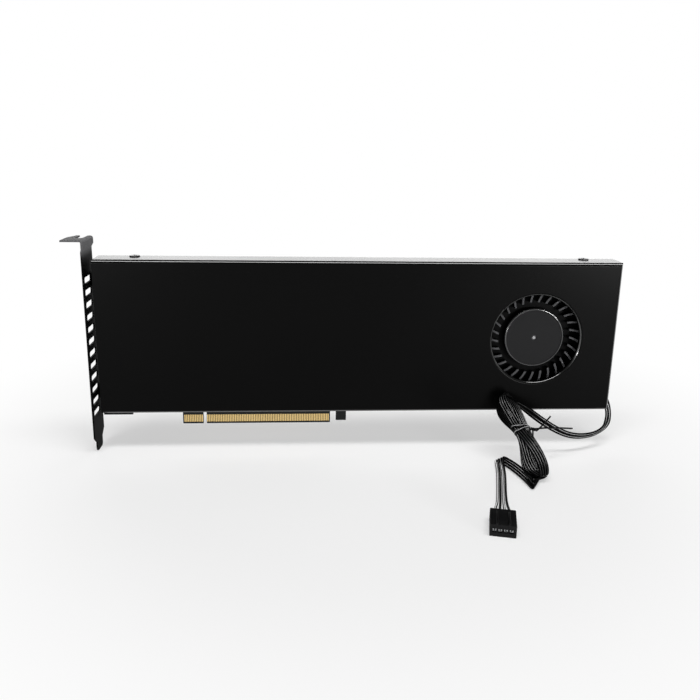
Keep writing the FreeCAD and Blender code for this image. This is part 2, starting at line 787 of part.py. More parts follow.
def ribbon_strip(name, start, end, width, depth_back, depth_front):
    strip = doc.addObject("Part::Box", name)
    bind(strip, Length=end - start, Width=f"({depth_front}) - ({depth_back})", Height=width)
    corner = ribbon_turn.multVec(Vector(start, 0, -value(width) / 2))
    strip.Placement.Rotation = ribbon_turn
    base_at(strip, f"fan_x + {corner.x}", f"-({depth_front})", f"fan_z + {corner.z}")
    return strip


GROOVE_WIDTH = "ribbon_width + ribbon_room"
lead_groove = ribbon_strip("lead_groove", *GROOVE, GROOVE_WIDTH, "0", "frame_floor + fit_gap")
lead_mouse_hole = ribbon_strip("lead_mouse_hole", *MOUSE_HOLE, GROOVE_WIDTH, "0", "frame_floor + overcut")
frame_solid = fused("frame_solid", floor, tube, *bosses, scroll)
node(cut("frame", frame_solid, bearing_seat, lead_groove, lead_mouse_hole, *boss_holes), "fan_frame")

# Motor parts that stand still
node(ring("bearing", "bearing_radius", "bearing_bore", "bearing_back", "bearing_front", "fan_x", "fan_z"),
     "fan_bearing")
node(ring("driver", "driver_radius", "bearing_radius + tube_wall + 2 * fit_gap", "frame_floor",
          "frame_floor + driver_gauge", "fan_x", "fan_z"), "fan_driver_board")
POLES = 6
stator_depth = value("stator_front - stator_back")


def around_axis(shape, count):
    axis = Vector(value("fan_x"), 0, value("fan_z"))
    return [shape.rotated(axis, Vector(0, 1, 0), 360 / count * step) for step in range(count)]


def at_fan(shape):
    return shape.translated(Vector(value("fan_x"), 0, value("fan_z")))


def stator_disc(radius):
    start = Vector(0, -value("stator_back"), 0)
    return Part.makeCylinder(value(radius), stator_depth, start, Vector(0, -1, 0))


def stator_pole():
    """A radial arm along X with a curved shoe at its end."""
    start = value("yoke_radius - fit_gap * 4")
    width = value("pole_width")
    arm_length = value("shoe_inner + fit_gap * 2") - start
    arm = Part.makeBox(arm_length, stator_depth, width, Vector(start, -value("stator_front"), -width / 2))
    shoe_width = value("shoe_width")
    reach = value("shoe_radius")
    window = Part.makeBox(reach, reach, shoe_width, Vector(start, -reach, -shoe_width / 2))
    shoe = stator_disc("shoe_radius").cut(stator_disc("shoe_inner")).common(window)
    return arm.fuse(shoe)


def coil():
    """A square winding round a pole's arm."""
    length = value("coil_length")
    depth = value("coil_depth")
    width = value("coil_width")
    wall = value("coil_wall")
    start = value("coil_start")
    middle = -value("stator_back + stator_front") / 2
    arm_room = value("pole_width + 2 * fit_gap")
    outer = Part.makeBox(length, depth, width, Vector(start, middle - depth / 2, -width / 2))
    inner_depth = depth - 2 * wall
    return outer.cut(Part.makeBox(2 * length, inner_depth, arm_room,
                                  Vector(start - wall, middle - inner_depth / 2, -arm_room / 2)))


yoke = stator_disc("yoke_radius").cut(stator_disc("bearing_radius + tube_wall"))
poles = around_axis(at_fan(stator_pole()), POLES)
formed("stator_core", at_fan(yoke).multiFuse(poles).removeSplitter())
formed("stator_coils", Part.makeCompound(around_axis(at_fan(coil()), POLES)))

# Rotor: shaft, clip, steel cup, magnet and the bladed impeller
shaft_blank = disc("shaft_blank", "shaft_radius", "shaft_back", "shaft_front", "fan_x", "fan_z")
clip_groove = ring("clip_groove", "shaft_radius + overcut", "groove_radius", "clip_back - clip_play",
                   "clip_front + clip_play", "fan_x", "fan_z")
node(cut("shaft", shaft_blank, clip_groove), "fan_shaft")
node(ring("clip", "clip_radius", "clip_bore", "clip_back", "clip_front", "fan_x", "fan_z"), "shaft_clip")
CUP_RADIUS = "hub_radius - hub_wall - clip_play"
CUP_FRONT = "hub_front - cup_sunk"
cup_wall = ring("cup_wall", CUP_RADIUS, f"{CUP_RADIUS} - cup_gauge", "cup_back", CUP_FRONT, "fan_x", "fan_z")
cup_roof = ring("cup_roof", f"{CUP_RADIUS} - cup_gauge / 2", "shaft_radius", f"{CUP_FRONT} - cup_gauge",
                CUP_FRONT, "fan_x", "fan_z")
cup_boss = ring("cup_boss", "cup_boss_radius", "shaft_radius", "hub_front - cup_boss_back",
                f"{CUP_FRONT} - cup_gauge / 2", "fan_x", "fan_z")
node(fused("cup", cup_wall, cup_roof, cup_boss), "rotor_cup")
node(ring("magnet", f"{CUP_RADIUS} - cup_gauge - clip_play", "magnet_bore", "magnet_back", "magnet_front",
          "fan_x", "fan_z"), "rotor_magnet")

impeller = doc.addObject("PartDesign::Body", "impeller_moulding")
hub_profile = sketch_on(impeller, "XY_Plane", "hub_profile", lift="fan_z", along="fan_x")
RIM_FRONT = "hub_front + rim_rise"
outline(hub_profile, (
    ("hub_hole", "-hub_front"),
    ("hub_radius - rim_width", "-hub_front"),
    ("hub_radius - rim_width", f"-({RIM_FRONT})"),
    ("hub_radius", f"-({RIM_FRONT})"),
    ("hub_radius", "-web_front"),
    ("impeller_radius", "-web_front"),
    ("impeller_radius", "-web_back"),
    ("hub_radius - hub_wall", "-web_back"),
    ("hub_radius - hub_wall", "-hub_front + hub_face"),
    ("hub_hole", "-hub_front + hub_face"),
))
revolved(impeller, hub_profile)


def on_hub_rim(p, d):
    from_axis = math.hypot(p.x - value("fan_x"), p.z - value("fan_z"))
    return near(p.y, -value(RIM_FRONT)) and near(from_axis, value("hub_radius"))


rounded(impeller, "hub_rim", on_hub_rim)


def blade_side(offset):
    """One side of a blade: an arc that leans clockwise and curls on towards the rim."""
    inner = value("blade_inner")
    outer = value("impeller_radius - blade_inset")
    lean = math.radians(value("blade_lean"))
    curl = math.radians(value("blade_curl"))
    points = []
    for share in (0, 0.5, 1):
        radius = inner + (outer - inner) * share
        turn = -(radius - inner) / inner * (math.tan(lean) + math.tan(curl) * share / 2)
        points.append(Vector(radius * math.cos(turn), radius * math.sin(turn) + offset, 0))
    return points


blade = sketch_on(impeller, "XZ_Plane", "blade", lift="web_front - blade_root", along="fan_x", across="fan_z")
left_side = blade_side(-value("blade_gauge") / 2)
right_side = blade_side(value("blade_gauge") / 2)
blade.addGeometry(Part.Arc(*left_side))
blade.addGeometry(Part.LineSegment(left_side[2], right_side[2]))
blade.addGeometry(Part.Arc(*reversed(right_side)))
blade.addGeometry(Part.LineSegment(right_side[0], left_side[0]))
blade_pad = pad(impeller, blade, "blade_front - web_front + blade_root")
blades = impeller.newObject("PartDesign::PolarPattern", "blades")
blades.Originals = [blade_pad]
blades.Axis = (hub_profile, ["V_Axis"])
blades.Angle = 360
blades.Occurrences = int(value("blade_count"))
impeller.Tip = blades
node(impeller, "impeller")

# Drive sockets, in two columns that face away from the switch chip
socket_body = block(
    "socket_body",
    ("0", "socket_depth"),
    ("-socket_front", f"-{HALF_BOARD}"),
    ("-socket_width / 2", "socket_width / 2"),
)
socket_mouth = block(
    "socket_mouth",
    ("socket_depth - mouth_depth", "socket_depth + overcut"),
    ("-mouth_front", "-mouth_back"),
    ("-mouth_width / 2", "mouth_width / 2"),
)
socket_key = block(
    "socket_key",
    ("socket_depth - mouth_depth - fit_gap", "socket_depth"),
    ("-mouth_front - fit_gap", "-mouth_back + fit_gap"),
    ("socket_key_low", "socket_key_high"),
)
socket = fused("socket", cut("socket_open", socket_body, socket_mouth), socket_key)
doc.recompute()
socket_shapes = []
for row in ("drive_row_low", "drive_row_high"):
    right_way = socket.Shape.translated(Vector(value("socket_right_face - socket_depth"), 0, value(row)))
    left_way = socket.Shape.rotated(Vector(0, 0, 0), Vector(0, 1, 0), 180)
    left_way = left_way.mirror(Vector(0, 0, 0), Vector(0, 0, 1))
    left_way = left_way.translated(Vector(value("socket_left_face + socket_depth"), 0, value(row)))
    socket_shapes += [right_way, left_way]
formed("drive_sockets", Part.makeCompound([solid for shape in socket_shapes for solid in shape.Solids]))

# Standoffs and screws for the drives' far ends
DRIVE_ENDS = [
    (x, row)
    for x in ("socket_left_face - drive_reach", "socket_right_face + drive_reach")
    for row in ("drive_row_low", "drive_row_high")
]
drive_post = ring("drive_post", "post_radius", "post_bore", HALF_BOARD, "post_front", "0", "0")
group("drive_standoffs", drive_post, moves(DRIVE_ENDS))
drive_head = disc("drive_head", "drive_head_radius", "post_front", "post_front + drive_head_rise", "0", "0")
drive_shank = disc("drive_shank", "drive_screw_radius", "drive_screw_back",
                   "post_front + drive_head_rise / 2", "0", "0")
group("drive_screws", fused("drive_screw", drive_head, drive_shank), moves(DRIVE_ENDS))


# Switch chip, thermal pad and finned heat sink
def chip_layer(name, side, back, front):
    """A square layer over the switch chip's middle, between two depths."""
    return block(
        name,
        (f"chip_x - {side} / 2", f"chip_x + {side} / 2"),
        (f"-({front})", f"-({back})"),
        (f"chip_z - {side} / 2", f"chip_z + {side} / 2"),
    )


substrate = chip_layer("chip_substrate", "chip_side", HALF_BOARD, "chip_front")
lid = chip_layer("chip_lid", "lid_side", "chip_front - fit_gap", "lid_front")
node(fused("chip", substrate, lid), "switch_chip")
node(chip_layer("pad", "lid_side", "lid_front", "pad_front"), "thermal_pad")
sink = doc.addObject("PartDesign::Body", "sink")
sink_plan = sketch_on(sink, "XZ_Plane", "sink_plan", lift="pad_front")
SINK_LEFT = "chip_x - sink_width / 2"
SINK_LOW = "chip_z - sink_height / 2"
rectangle(sink_plan, SINK_LEFT, SINK_LOW, "chip_x + sink_width / 2", "chip_z + sink_height / 2")
pad(sink, sink_plan, "sink_base_front - pad_front")
fin_plan = sketch_on(sink, "XZ_Plane", "fin_plan", lift="sink_base_front - fin_root")
rectangle(fin_plan, SINK_LEFT, SINK_LOW, "chip_x + sink_width / 2", f"{SINK_LOW} + fin_gauge")
fin = pad(sink, fin_plan, "sink_front - sink_base_front + fin_root")
fins = sink.newObject("PartDesign::LinearPattern", "fins")
fins.Originals = [fin]
fins.Direction = (fin_plan, ["V_Axis"])
fins.Occurrences = int(value("fin_count"))
bind(fins, Length="sink_height - fin_gauge")
sink.Tip = fins
node(sink, "heat_sink")

# Power parts along the lower edge
POWER_COUNT = 4


def power_block(name, rise):
    sides = ("-power_half", "power_half")
    return block(name, sides, (f"-{HALF_BOARD} - {rise}", f"-{HALF_BOARD}"), sides)


def power_row(left):
    return moves([(f"{left} + power_pitch * {count}", "row_low") for count in range(POWER_COUNT)])


choke = power_block("choke", "inductor_rise")
choke_edges = doc.addObject("Part::Chamfer", "choke_edges")
choke_edges.Base = choke
doc.recompute()
choke_edges.Edges = [
    (count, value("inductor_bevel"), value("inductor_bevel"))
    for count, edge in enumerate(choke.Shape.Edges, start=1)
    if abs(edge.tangentAt(edge.FirstParameter).y) > 0.9
]
group("power_inductors", choke_edges, power_row("inductor_left"))
can_base = power_block("can_base", "can_base_rise")
can = disc("can", "can_radius", f"{HALF_BOARD} + can_base_rise / 2", "can_front", "0", "0")
group("power_capacitors", fused("capacitor", can_base, can), power_row("capacitor_left"))


# Fan lead
def rounded_path(points):
    """Straight runs joined by tangent arcs, each as large as its two runs allow."""
    edges = []
    radii = []
    start = points[0]
    for before, corner, after in zip(points, points[1:], points[2:]):
        back_way = (before - corner).normalize()
        on_way = (after - corner).normalize()
        half_turn = (math.pi - back_way.getAngle(on_way)) / 2
        trimmed = 0.45 * min((before - corner).Length, (after - corner).Length)
        radius = trimmed / math.tan(half_turn)
        radii.append(radius)
        arc_start = corner + back_way * trimmed
        arc_end = corner + on_way * trimmed
        inward = (back_way + on_way).normalize()
        middle = corner + inward * (radius / math.cos(half_turn) - radius)
        edges.append(Part.LineSegment(start, arc_start).toShape())
        edges.append(Part.Arc(arc_start, middle, arc_end).toShape())
        start = arc_end
    edges.append(Part.LineSegment(start, points[-1]).toShape())
    return Part.Wire(edges), radii


def cord_tube(label, places, radius):
    points = [Vector(*place) for place in places]
    path, radii = rounded_path(points)
    section = Part.Wire(Part.makeCircle(radius, points[0], points[1] - points[0]))
    solid = path.makePipeShell([section], True, False)
    expected = math.pi * radius**2 * path.Length
    print(f"{label}: {path.Length:.1f} mm long, volume {solid.Volume / expected:.3f} of section times length")
    print(f"{label}: radii {[round(r, 1) for r in radii]}")
    return solid


RIBBON_BACK = f"{HALF_BOARD} + fit_gap"
strip = ribbon_strip("lead_strip", LEAD_START, lead_run + LEAD_OUT, "ribbon_width", RIBBON_BACK,
                     f"{RIBBON_BACK} + ribbon_thickness")
node(strip, "lead_inner")
along_lead = ribbon_turn.multVec(Vector(1, 0, 0))
exit_point = Vector(value("fan_x"), -value(f"{RIBBON_BACK} + ribbon_thickness / 2"), value("fan_z"))
exit_point += along_lead * (lead_run + LEAD_OUT)
FIRST_RUN = 5
bow_start = exit_point + along_lead * FIRST_RUN
for place, point in (("leaves the card", exit_point), ("starts to bow", bow_start)):
    print("the lead", place, "at", [round(part, 2) for part in point])

LEAD_ROUTE = [
    tuple(exit_point),
    tuple(bow_start),
    (240.7, -3.4, 5.4),
    (238.6, -6.6, 1.1),
    (233.3, -11.2, -1.6),
    (225.3, -16.0, -2.7),
    (215.3, -20.0, -2.0),
    (206.6, -22.0, 0.9),
    (198.6, -22.2, 5.4),
    (191.9, -21.0, 9.6),
    (185.7, -19.2, 14.2),
    (179.6, -17.6, 19.0),
]
TAIL_ROUTE = [
    (181.6, -55.9, -7.7),
    (181.4, -60.4, -9.7),
    (179.6, -63.9, -10.6),
    (176.2, -62.8, -10.65),
    (176.0, -56.6, -10.65),
    (173.6, -47.0, -10.65),
    (171.8, -39.4, -10.65),
    (170.0, -33.8, -10.6),
    (166.2, -32.2, -10.5),
    (164.2, -36.2, -10.6),
    (163.4, -43.4, -10.65),
    (161.1, -54.0, -10.65),
    (157.8, -67.6, -10.6),
    (154.2, -81.4, -10.2),
    (150.7, -94.6, -8.8),
]
formed("fan_lead", cord_tube("fan_lead", LEAD_ROUTE, value("lead_radius")))
formed("lead_tail", cord_tube("lead_tail", TAIL_ROUTE, value("lead_radius")))

# Hank: the bundled turns lean from the ground against the shroud, drawn in at the tie
HANK_TOP = Vector(171.0, -14.9, 22.5)
HANK_FOOT = Vector(183.3, -56.0, -8.3)
TIE_SHARE = 0.42
hank_axis = (HANK_TOP - HANK_FOOT).normalize()
hank_across = Vector(0.915, 0.384, -0.123)
hank_across = (hank_across - hank_axis * hank_across.dot(hank_axis)).normalize()
hank_depth = hank_axis.cross(hank_across)
tie_point = HANK_TOP + (HANK_FOOT - HANK_TOP) * TIE_SHARE


def in_hank(along, across, depth=0.0):
    return tie_point + hank_axis * along + hank_across * across + hank_depth * depth


def hank_outline(depth):
    lobe = value("hank_lobe")
    waist = value("hank_waist")
    length = (HANK_TOP - HANK_FOOT).Length
    edges = []
    for sign, reach in ((1, length * TIE_SHARE), (-1, length * (1 - TIE_SHARE))):
        centre = reach - lobe
        slope = math.atan2(waist, centre)
        touch = math.acos(lobe / math.hypot(centre, waist)) - slope
        spot = (centre - lobe * math.cos(touch), lobe * math.sin(touch))
        corners = [in_hank(sign * spot[0], side * spot[1], depth) for side in (1, -1)]
        tip = in_hank(sign * reach, 0, depth)
        edges.append(Part.makeLine(in_hank(0, waist, depth), corners[0]))
        edges.append(Part.Arc(corners[0], tip, corners[1]).toShape())
        edges.append(Part.makeLine(corners[1], in_hank(0, -waist, depth)))
    return Part.Face(Part.Wire(Part.__sortEdges__(edges)))


half_width = value("hank_half_width")
formed("lead_hank", hank_outline(-half_width).extrude(hank_depth * (2 * half_width)))

# Wire tie: a band round the waist, a twisted knot and its cut ends
TIE_BAND = 2.4


def tie_ring(grow, band):
    corners = []
    for across, depth in ((1, 1), (-1, 1), (-1, -1), (1, -1)):
        corners.append(in_hank(-band / 2, across * (value("hank_waist") + grow), depth * (half_width + grow)))
    return Part.Face(Part.makePolygon(corners + corners[:1])).extrude(hank_axis * band)


def stiff_wire(*stops):
    shapes = []
    for start, end in zip(stops, stops[1:]):
        shapes.append(Part.makeCylinder(value("tie_wire"), (end - start).Length, start, end - start))
        shapes.append(Part.makeSphere(value("tie_wire"), end))
    return shapes


TIE_SWELL = 0.3
tie_outside = TIE_SWELL + value("tie_gauge")
tie_knot = Vector(186.2, -28.6, 6.0)
tie_root = in_hank(0, value("hank_waist") + (TIE_SWELL + tie_outside) / 2, 0)
tie_solid = tie_ring(tie_outside, TIE_BAND).cut(tie_ring(TIE_SWELL, TIE_BAND + value("overcut")))
tie_ends = [Vector(195.9, -25.2, 12.4), Vector(208.7, -26.6, 5.6), Vector(185.0, -30.4, 2.2)]
tie_wires = stiff_wire(tie_root, tie_knot)
for tie_end in tie_ends:
    tie_wires += stiff_wire(tie_knot, tie_end)
formed("lead_tie", tie_solid.multiFuse(tie_wires).removeSplitter())

# Plug on the lead's far end, lying on the ground
PLUG_TURN = Rotation(Vector(0, 0, 1), -104.5)
PLUG_REAR = Vector(150.7, -94.5, value("bracket_bottom"))
PIN_ROWS = [f"pin_pitch * {step}" for step in (-1.5, -0.5, 0.5, 1.5)]


def beside(y, side):
    return (f"{y} - {side} / 2", f"{y} + {side} / 2")


def plug_channels(name, start, end, side):
    """One square bar for each pin, between two lengths along the plug."""
    return [
        block(f"{name}{count}", (start, end), beside(y, side), beside("plug_height / 2", side))
        for count, y in enumerate(PIN_ROWS)
    ]


plug_shell = block("plug_shell", ("0", "plug_length"), beside("0", "plug_width"), ("0", "plug_height"))
plug_ribs = [
    block(f"plug_rib{count}", ("rib_start", "plug_length"), beside(y, "rib_width"),
          ("plug_height - rib_root", "plug_height + rib_rise"))
    for count, y in enumerate(("-rib_apart / 2", "rib_apart / 2"))
]
CAVITY_START = "plug_length - cavity_depth"
BORE_START = "plug_length - terminal_bore_depth"
plug_cavities = plug_channels("plug_cavity", CAVITY_START, "plug_length + overcut", "cavity_side")
plug_local = cut("plug_local", fused("plug_solid", plug_shell, *plug_ribs), *plug_cavities)
terminals = plug_channels("terminal", CAVITY_START, "plug_length - terminal_inset", "terminal_side")
terminal_bores = plug_channels("terminal_bore", BORE_START, "plug_length", "terminal_bore")
open_contacts = [
    cut(f"open_contact{count}", terminal, bore)
    for count, (terminal, bore) in enumerate(zip(terminals, terminal_bores))
]
doc.recompute()


def lying(shape):
    placed = shape.copy()
    placed.Placement = FreeCAD.Placement(PLUG_REAR, PLUG_TURN).multiply(placed.Placement)
    return placed


formed("fan_plug", lying(plug_local.Shape))
formed("plug_contacts", Part.makeCompound([lying(one.Shape) for one in open_contacts]))

# Checks and export
doc.recompute()
faults = [thing.Name for thing in doc.Objects if {"Invalid", "Error"} & set(thing.State)]
faults += [label for label, feature in NODES.items() if feature.Shape.isNull() or not feature.Shape.isValid()]
if faults:
    raise RuntimeError(f"these failed: {faults}")
os.makedirs("parts", exist_ok=True)
for label, feature in NODES.items():
    feature.Shape.exportStep(f"parts/{label}.step")
    print(f"{label}: {len(feature.Shape.Solids)} solids, {feature.Shape.Volume:.1f} mm3")
print(len(NODES), "nodes")
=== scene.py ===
# %% [markdown]
# This lesson dresses a drive adapter card for the camera. The card stands upright, as it does in a slot:
# a black folded cover with a blower, a vented bracket at its left end, and a flat four-wire fan lead that
# is bundled and tied in front of it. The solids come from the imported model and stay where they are. The
# lesson gives them their finishes and models the pieces whose look needs a mesh: the lead, its tie, its
# plug and the screws.

# %% Load the frame
import math

import bpy
from mathutils import Matrix, Vector


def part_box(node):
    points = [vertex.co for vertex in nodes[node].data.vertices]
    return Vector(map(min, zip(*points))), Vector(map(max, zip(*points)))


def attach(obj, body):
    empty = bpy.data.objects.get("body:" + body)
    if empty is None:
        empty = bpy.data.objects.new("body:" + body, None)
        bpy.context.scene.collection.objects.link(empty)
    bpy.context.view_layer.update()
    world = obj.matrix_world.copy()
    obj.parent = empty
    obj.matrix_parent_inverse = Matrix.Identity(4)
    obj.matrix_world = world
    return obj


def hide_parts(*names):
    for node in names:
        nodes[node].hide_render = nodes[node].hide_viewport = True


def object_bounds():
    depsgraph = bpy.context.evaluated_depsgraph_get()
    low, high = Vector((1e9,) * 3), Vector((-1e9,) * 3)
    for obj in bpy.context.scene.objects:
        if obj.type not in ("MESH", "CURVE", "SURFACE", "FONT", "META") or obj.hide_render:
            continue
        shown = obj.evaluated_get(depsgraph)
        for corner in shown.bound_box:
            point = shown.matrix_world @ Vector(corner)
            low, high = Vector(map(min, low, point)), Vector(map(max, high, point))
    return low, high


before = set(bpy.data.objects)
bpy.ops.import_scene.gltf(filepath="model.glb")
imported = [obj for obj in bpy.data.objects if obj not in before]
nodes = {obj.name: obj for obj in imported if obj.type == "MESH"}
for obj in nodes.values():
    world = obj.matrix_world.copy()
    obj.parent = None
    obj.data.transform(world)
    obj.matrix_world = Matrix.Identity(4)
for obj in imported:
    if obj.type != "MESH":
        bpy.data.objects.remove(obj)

cad_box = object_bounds()
MM = 0.001
print("solids:", len(nodes), "box:", [round(side / MM, 1) for side in cad_box[1] - cad_box[0]], "mm")

# %% [markdown]
# The photograph looks down a little on the card from the front, slightly left of its middle. The lens and
# the place were worked out from the bracket and the cover's four corners. The vertical shift keeps the
# horizon where the photograph's crop has it, without tilting the camera further.

# %% Camera
SENSOR = 36.0
FOCAL_PIXELS = 715.5
FRAME_PIXELS = 700
CROP_PIXELS = 30
CAMERA_PLACE = Vector((0.0551, -0.395, 0.1611))
CAMERA_HEADING = math.radians(-4.10)
CAMERA_DROP = math.radians(14.04)
CAMERA_ROLL = math.radians(1.06)

camera_data = bpy.data.cameras.new("photo_camera")
camera_data.sensor_width = SENSOR
camera_data.lens = FOCAL_PIXELS / FRAME_PIXELS * SENSOR
camera_data.shift_y = -CROP_PIXELS / FRAME_PIXELS
camera_data.clip_start = 0.01
camera = bpy.data.objects.new("photo_camera", camera_data)
bpy.context.scene.collection.objects.link(camera)
heading = Matrix.Rotation(CAMERA_HEADING, 4, "Z")
drop = Matrix.Rotation(math.pi / 2 - CAMERA_DROP, 4, "X")
roll = Matrix.Rotation(CAMERA_ROLL, 4, "Z")
camera.matrix_world = Matrix.Translation(CAMERA_PLACE) @ heading @ drop @ roll
bpy.context.scene.camera = camera
bpy.context.scene.view_settings.view_transform = "Standard"
print("camera lens:", round(camera_data.lens, 2), "mm")

# %% [markdown]
# A finish is a small graph of nodes. Wrapping a socket in a class that knows the operators lets the graph
# be written as ordinary sums and products, and one method adds any other kind of node. The room's light
# is such a graph too, so the class for graphs stands apart from the one for finishes.


# %% Signals
class Signal:
    """A socket that takes part in Python arithmetic."""

    def __init__(self, graph, socket):
        self.graph = graph
        self.socket = socket

    def math(self, operation, first, second):
        return self.graph.node("ShaderNodeMath", {"operation": operation}, {0: first, 1: second})

    def __add__(self, other):
        return self.math("ADD", self, other)

    def __radd__(self, other):
        return self.math("ADD", other, self)

    def __sub__(self, other):
        return self.math("SUBTRACT", self, other)

    def __rsub__(self, other):
        return self.math("SUBTRACT", other, self)

    def __mul__(self, other):
        return self.math("MULTIPLY", self, other)

    def __rmul__(self, other):
        return self.math("MULTIPLY", other, self)

    def __pow__(self, other):
        return self.math("POWER", self, other)

    def __rpow__(self, other):
        return self.math("POWER", other, self)


# %% Graphs
class Graph:
    """A node tree that signals belong to."""

    def __init__(self, tree):
        self.tree = tree

    def node(self, kind, settings=None, sockets=None, output=0):
        made = self.tree.nodes.new(kind)
        for name, setting in (settings or {}).items():
            setattr(made, name, setting)
        for name, content in (sockets or {}).items():
            self.feed(made.inputs[name], content)
        return Signal(self, made.outputs[output])

    def feed(self, socket, content):
        if isinstance(content, Signal):
            self.tree.links.new(content.socket, socket)
        else:
            socket.default_value = content

    def band(self, signal, low, high):
        """0 below low, 1 above high, with a smooth rise between them."""
        settings = {"interpolation_type": "SMOOTHSTEP"}
        return self.node("ShaderNodeMapRange", settings, {"Value": signal, "From Min": low, "From Max": high})

    def rays(self, kind):
        """1 for rays of one kind and 0 for all others."""
        return self.node("ShaderNodeLightPath", output="Is " + kind + " Ray")


# %% Finishes as graphs
class Finish(Graph):
    """One material, its tree and its main shader."""

    def __init__(self, name):
        self.material = bpy.data.materials.new(name)
        self.material.use_nodes = True
        super().__init__(self.material.node_tree)
        self.shader = self.tree.nodes["Principled BSDF"]
        self.where = self.node("ShaderNodeTexCoord", output="Object")

    def surface(self, **sockets):
        for name, content in sockets.items():
            self.feed(self.shader.inputs[name.replace("_", " ")], content)

    def along(self, axis):
        """How far along one of the part's axes, in metres."""
        return self.node("ShaderNodeSeparateXYZ", None, {0: self.where}, output=axis)

    def from_axis(self, x, z):
        """How far from a line through x and z that runs from front to back."""
        return ((self.along("X") - x) ** 2 + (self.along("Z") - z) ** 2) ** 0.5

    def noise(self, scale, detail=2.0):
        return self.node("ShaderNodeTexNoise", None, {"Vector": self.where, "Scale": scale, "Detail": detail})

    def tint(self, mask, dark, light):
        """A colour that goes from dark to light with the mask."""
        sockets = {"Factor": mask, 6: (*dark, 1.0), 7: (*light, 1.0)}
        return self.node("ShaderNodeMix", {"data_type": "RGBA"}, sockets, output=2)

    def relief(self, height, depth, strength):
        """Surface relief whose height signal from 0 to 1 stands for depth metres."""
        return self.node("ShaderNodeBump", None, {"Height": height, "Distance": depth, "Strength": strength})


print("shader helpers ready")

# %% [markdown]
# The card is black and glossy, so most of what the eye sees on it is reflection. A panel behind lights
# the flat top, a lamp above draws a thin line along each fold and each wire, and low panels in front give
# the face its soft sheen at its upper corners. The lamps stay at a plain level: a matt grey card in the
# cover's place renders about as its colour is written. So the white of the floor comes from its own glow,
# which grows to plain white a little way off. Only the camera and mirror rays meet that glow, so the card
# reflects it without being lit by it.

# %% Floor
FLOOR_HEIGHT = cad_box[0].z
FLOOR_SIDE = 12.0
FLOOR_MIDDLE = (0.1, 0.0)
FLOOR_FADE = (0.13, 0.30)
FLOOR_GLOW = 0.4
PALE = (0.95, 0.95, 0.95, 1.0)
WHITE = (1.0, 1.0, 1.0, 1.0)

bpy.ops.object.select_all(action="DESELECT")
bpy.ops.mesh.primitive_plane_add(size=FLOOR_SIDE, location=(*FLOOR_MIDDLE, FLOOR_HEIGHT))
floor = bpy.context.object
floor.name = "floor"

pale = Finish("pale_floor")
distance = pale.node("ShaderNodeVectorMath", {"operation": "LENGTH"}, {0: pale.where}, output="Value")
meets_glow = pale.rays("Camera") + pale.rays("Glossy") + pale.rays("Transmission")
glow = (FLOOR_GLOW + pale.band(distance, *FLOOR_FADE) * (1.0 - FLOOR_GLOW)) * meets_glow
pale.surface(Base_Color=PALE, Roughness=0.9, Specular_IOR_Level=0.0)
bright = pale.node("ShaderNodeEmission", None, {"Color": WHITE, "Strength": 1.0})
plain = Signal(pale, pale.shader.outputs[0])
blend = pale.node("ShaderNodeMixShader", None, {"Fac": glow, 1: plain, 2: bright})
pale.feed(pale.tree.nodes["Material Output"].inputs["Surface"], blend)
floor.data.materials.append(pale.material)
print("floor at", round(FLOOR_HEIGHT / MM, 1), "mm")

# %% Room
DIFFUSE_LEVEL = 0.20
CEILING_LEVEL = 0.12
CEILING_RISE = (0.15, 0.4)

world = bpy.data.worlds.new("white_room")
bpy.context.scene.world = world
world.use_nodes = True
room = Graph(world.node_tree)
seen = room.rays("Camera")
mirrored = room.rays("Glossy")
through = room.rays("Transmission")
heading_up = room.node("ShaderNodeTexCoord", output="Generated")
height = room.node("ShaderNodeSeparateXYZ", None, {0: heading_up}, output="Z")
ceiling = room.band(height, *CEILING_RISE)
mirror_level = 1.0 - ceiling * (1.0 - CEILING_LEVEL)
shown = mirrored * mirror_level + through
unseen = (1.0 - seen) * (shown + (1.0 - mirrored) * (1.0 - through) * DIFFUSE_LEVEL)
background = room.tree.nodes["Background"]
room.feed(background.inputs["Strength"], seen + unseen)
room.feed(background.inputs["Color"], WHITE)
print("room light:", DIFFUSE_LEVEL)

# %% Lamps
LAMPS = {
    "overhead_panel": ((0.16, -0.34, 1.12), (0.1, 0.0, 0.0), (1.2, 0.26), 9.0),
    "back_panel": ((0.1, 0.95, 0.34), (0.1, 0.0, 0.1), (1.4, 0.34), 5.0),
    "right_sheen": ((0.85, -1.1, 0.10), (0.2, 0.0, 0.07), (0.35, 0.14), 8.0),
    "left_sheen": ((-0.55, -1.1, 0.10), (0.0, 0.0, 0.07), (0.30, 0.14), 3.4),
}

for name, (place, aim, sides, watts) in LAMPS.items():
    lamp = bpy.data.lights.new(name, "AREA")
    lamp.shape = "RECTANGLE"
    lamp.size, lamp.size_y = sides
    lamp.energy = watts
    holder = bpy.data.objects.new(name, lamp)
    bpy.context.scene.collection.objects.link(holder)
    holder.location = place
    holder.rotation_euler = (Vector(aim) - Vector(place)).to_track_quat("-Z", "Y").to_euler()
    holder.visible_camera = False
print("lamps:", len(bpy.data.lights))

# %% [markdown]
# The cover is folded steel with satin black paint. Its flat face throws back very little of the pale
# floor, so its own gloss is low. Along each fold and round the blower's inlet the paint is stretched
# smooth over the bend: there a clear coat is laid on, chosen by depth from the front, and it catches the
# lamp as a thin light line. The flat top gets a trace of that coat. The bracket is duller. Its upper end,
# which stands clear of the cover where the light reaches it, is painted greyer than the rest: painted
# light, while the part below, in the cover's shade, keeps its black. Real paint is never perfectly even,
# so gloss and shade drift a little and a fine orange peel runs over both.

# %% Painted sheet
DRIFT_SCALE = 14.0
SPECK_SCALE = 2600.0
PEEL_SCALE = 900.0
PEEL_STRENGTH = 0.35
SHADE_SPAN = (0.8, 1.25)
GLOSS_DRIFT = 0.08
GLOSS_SPECK = 0.05
GLOSS_MIDDLE = 0.06


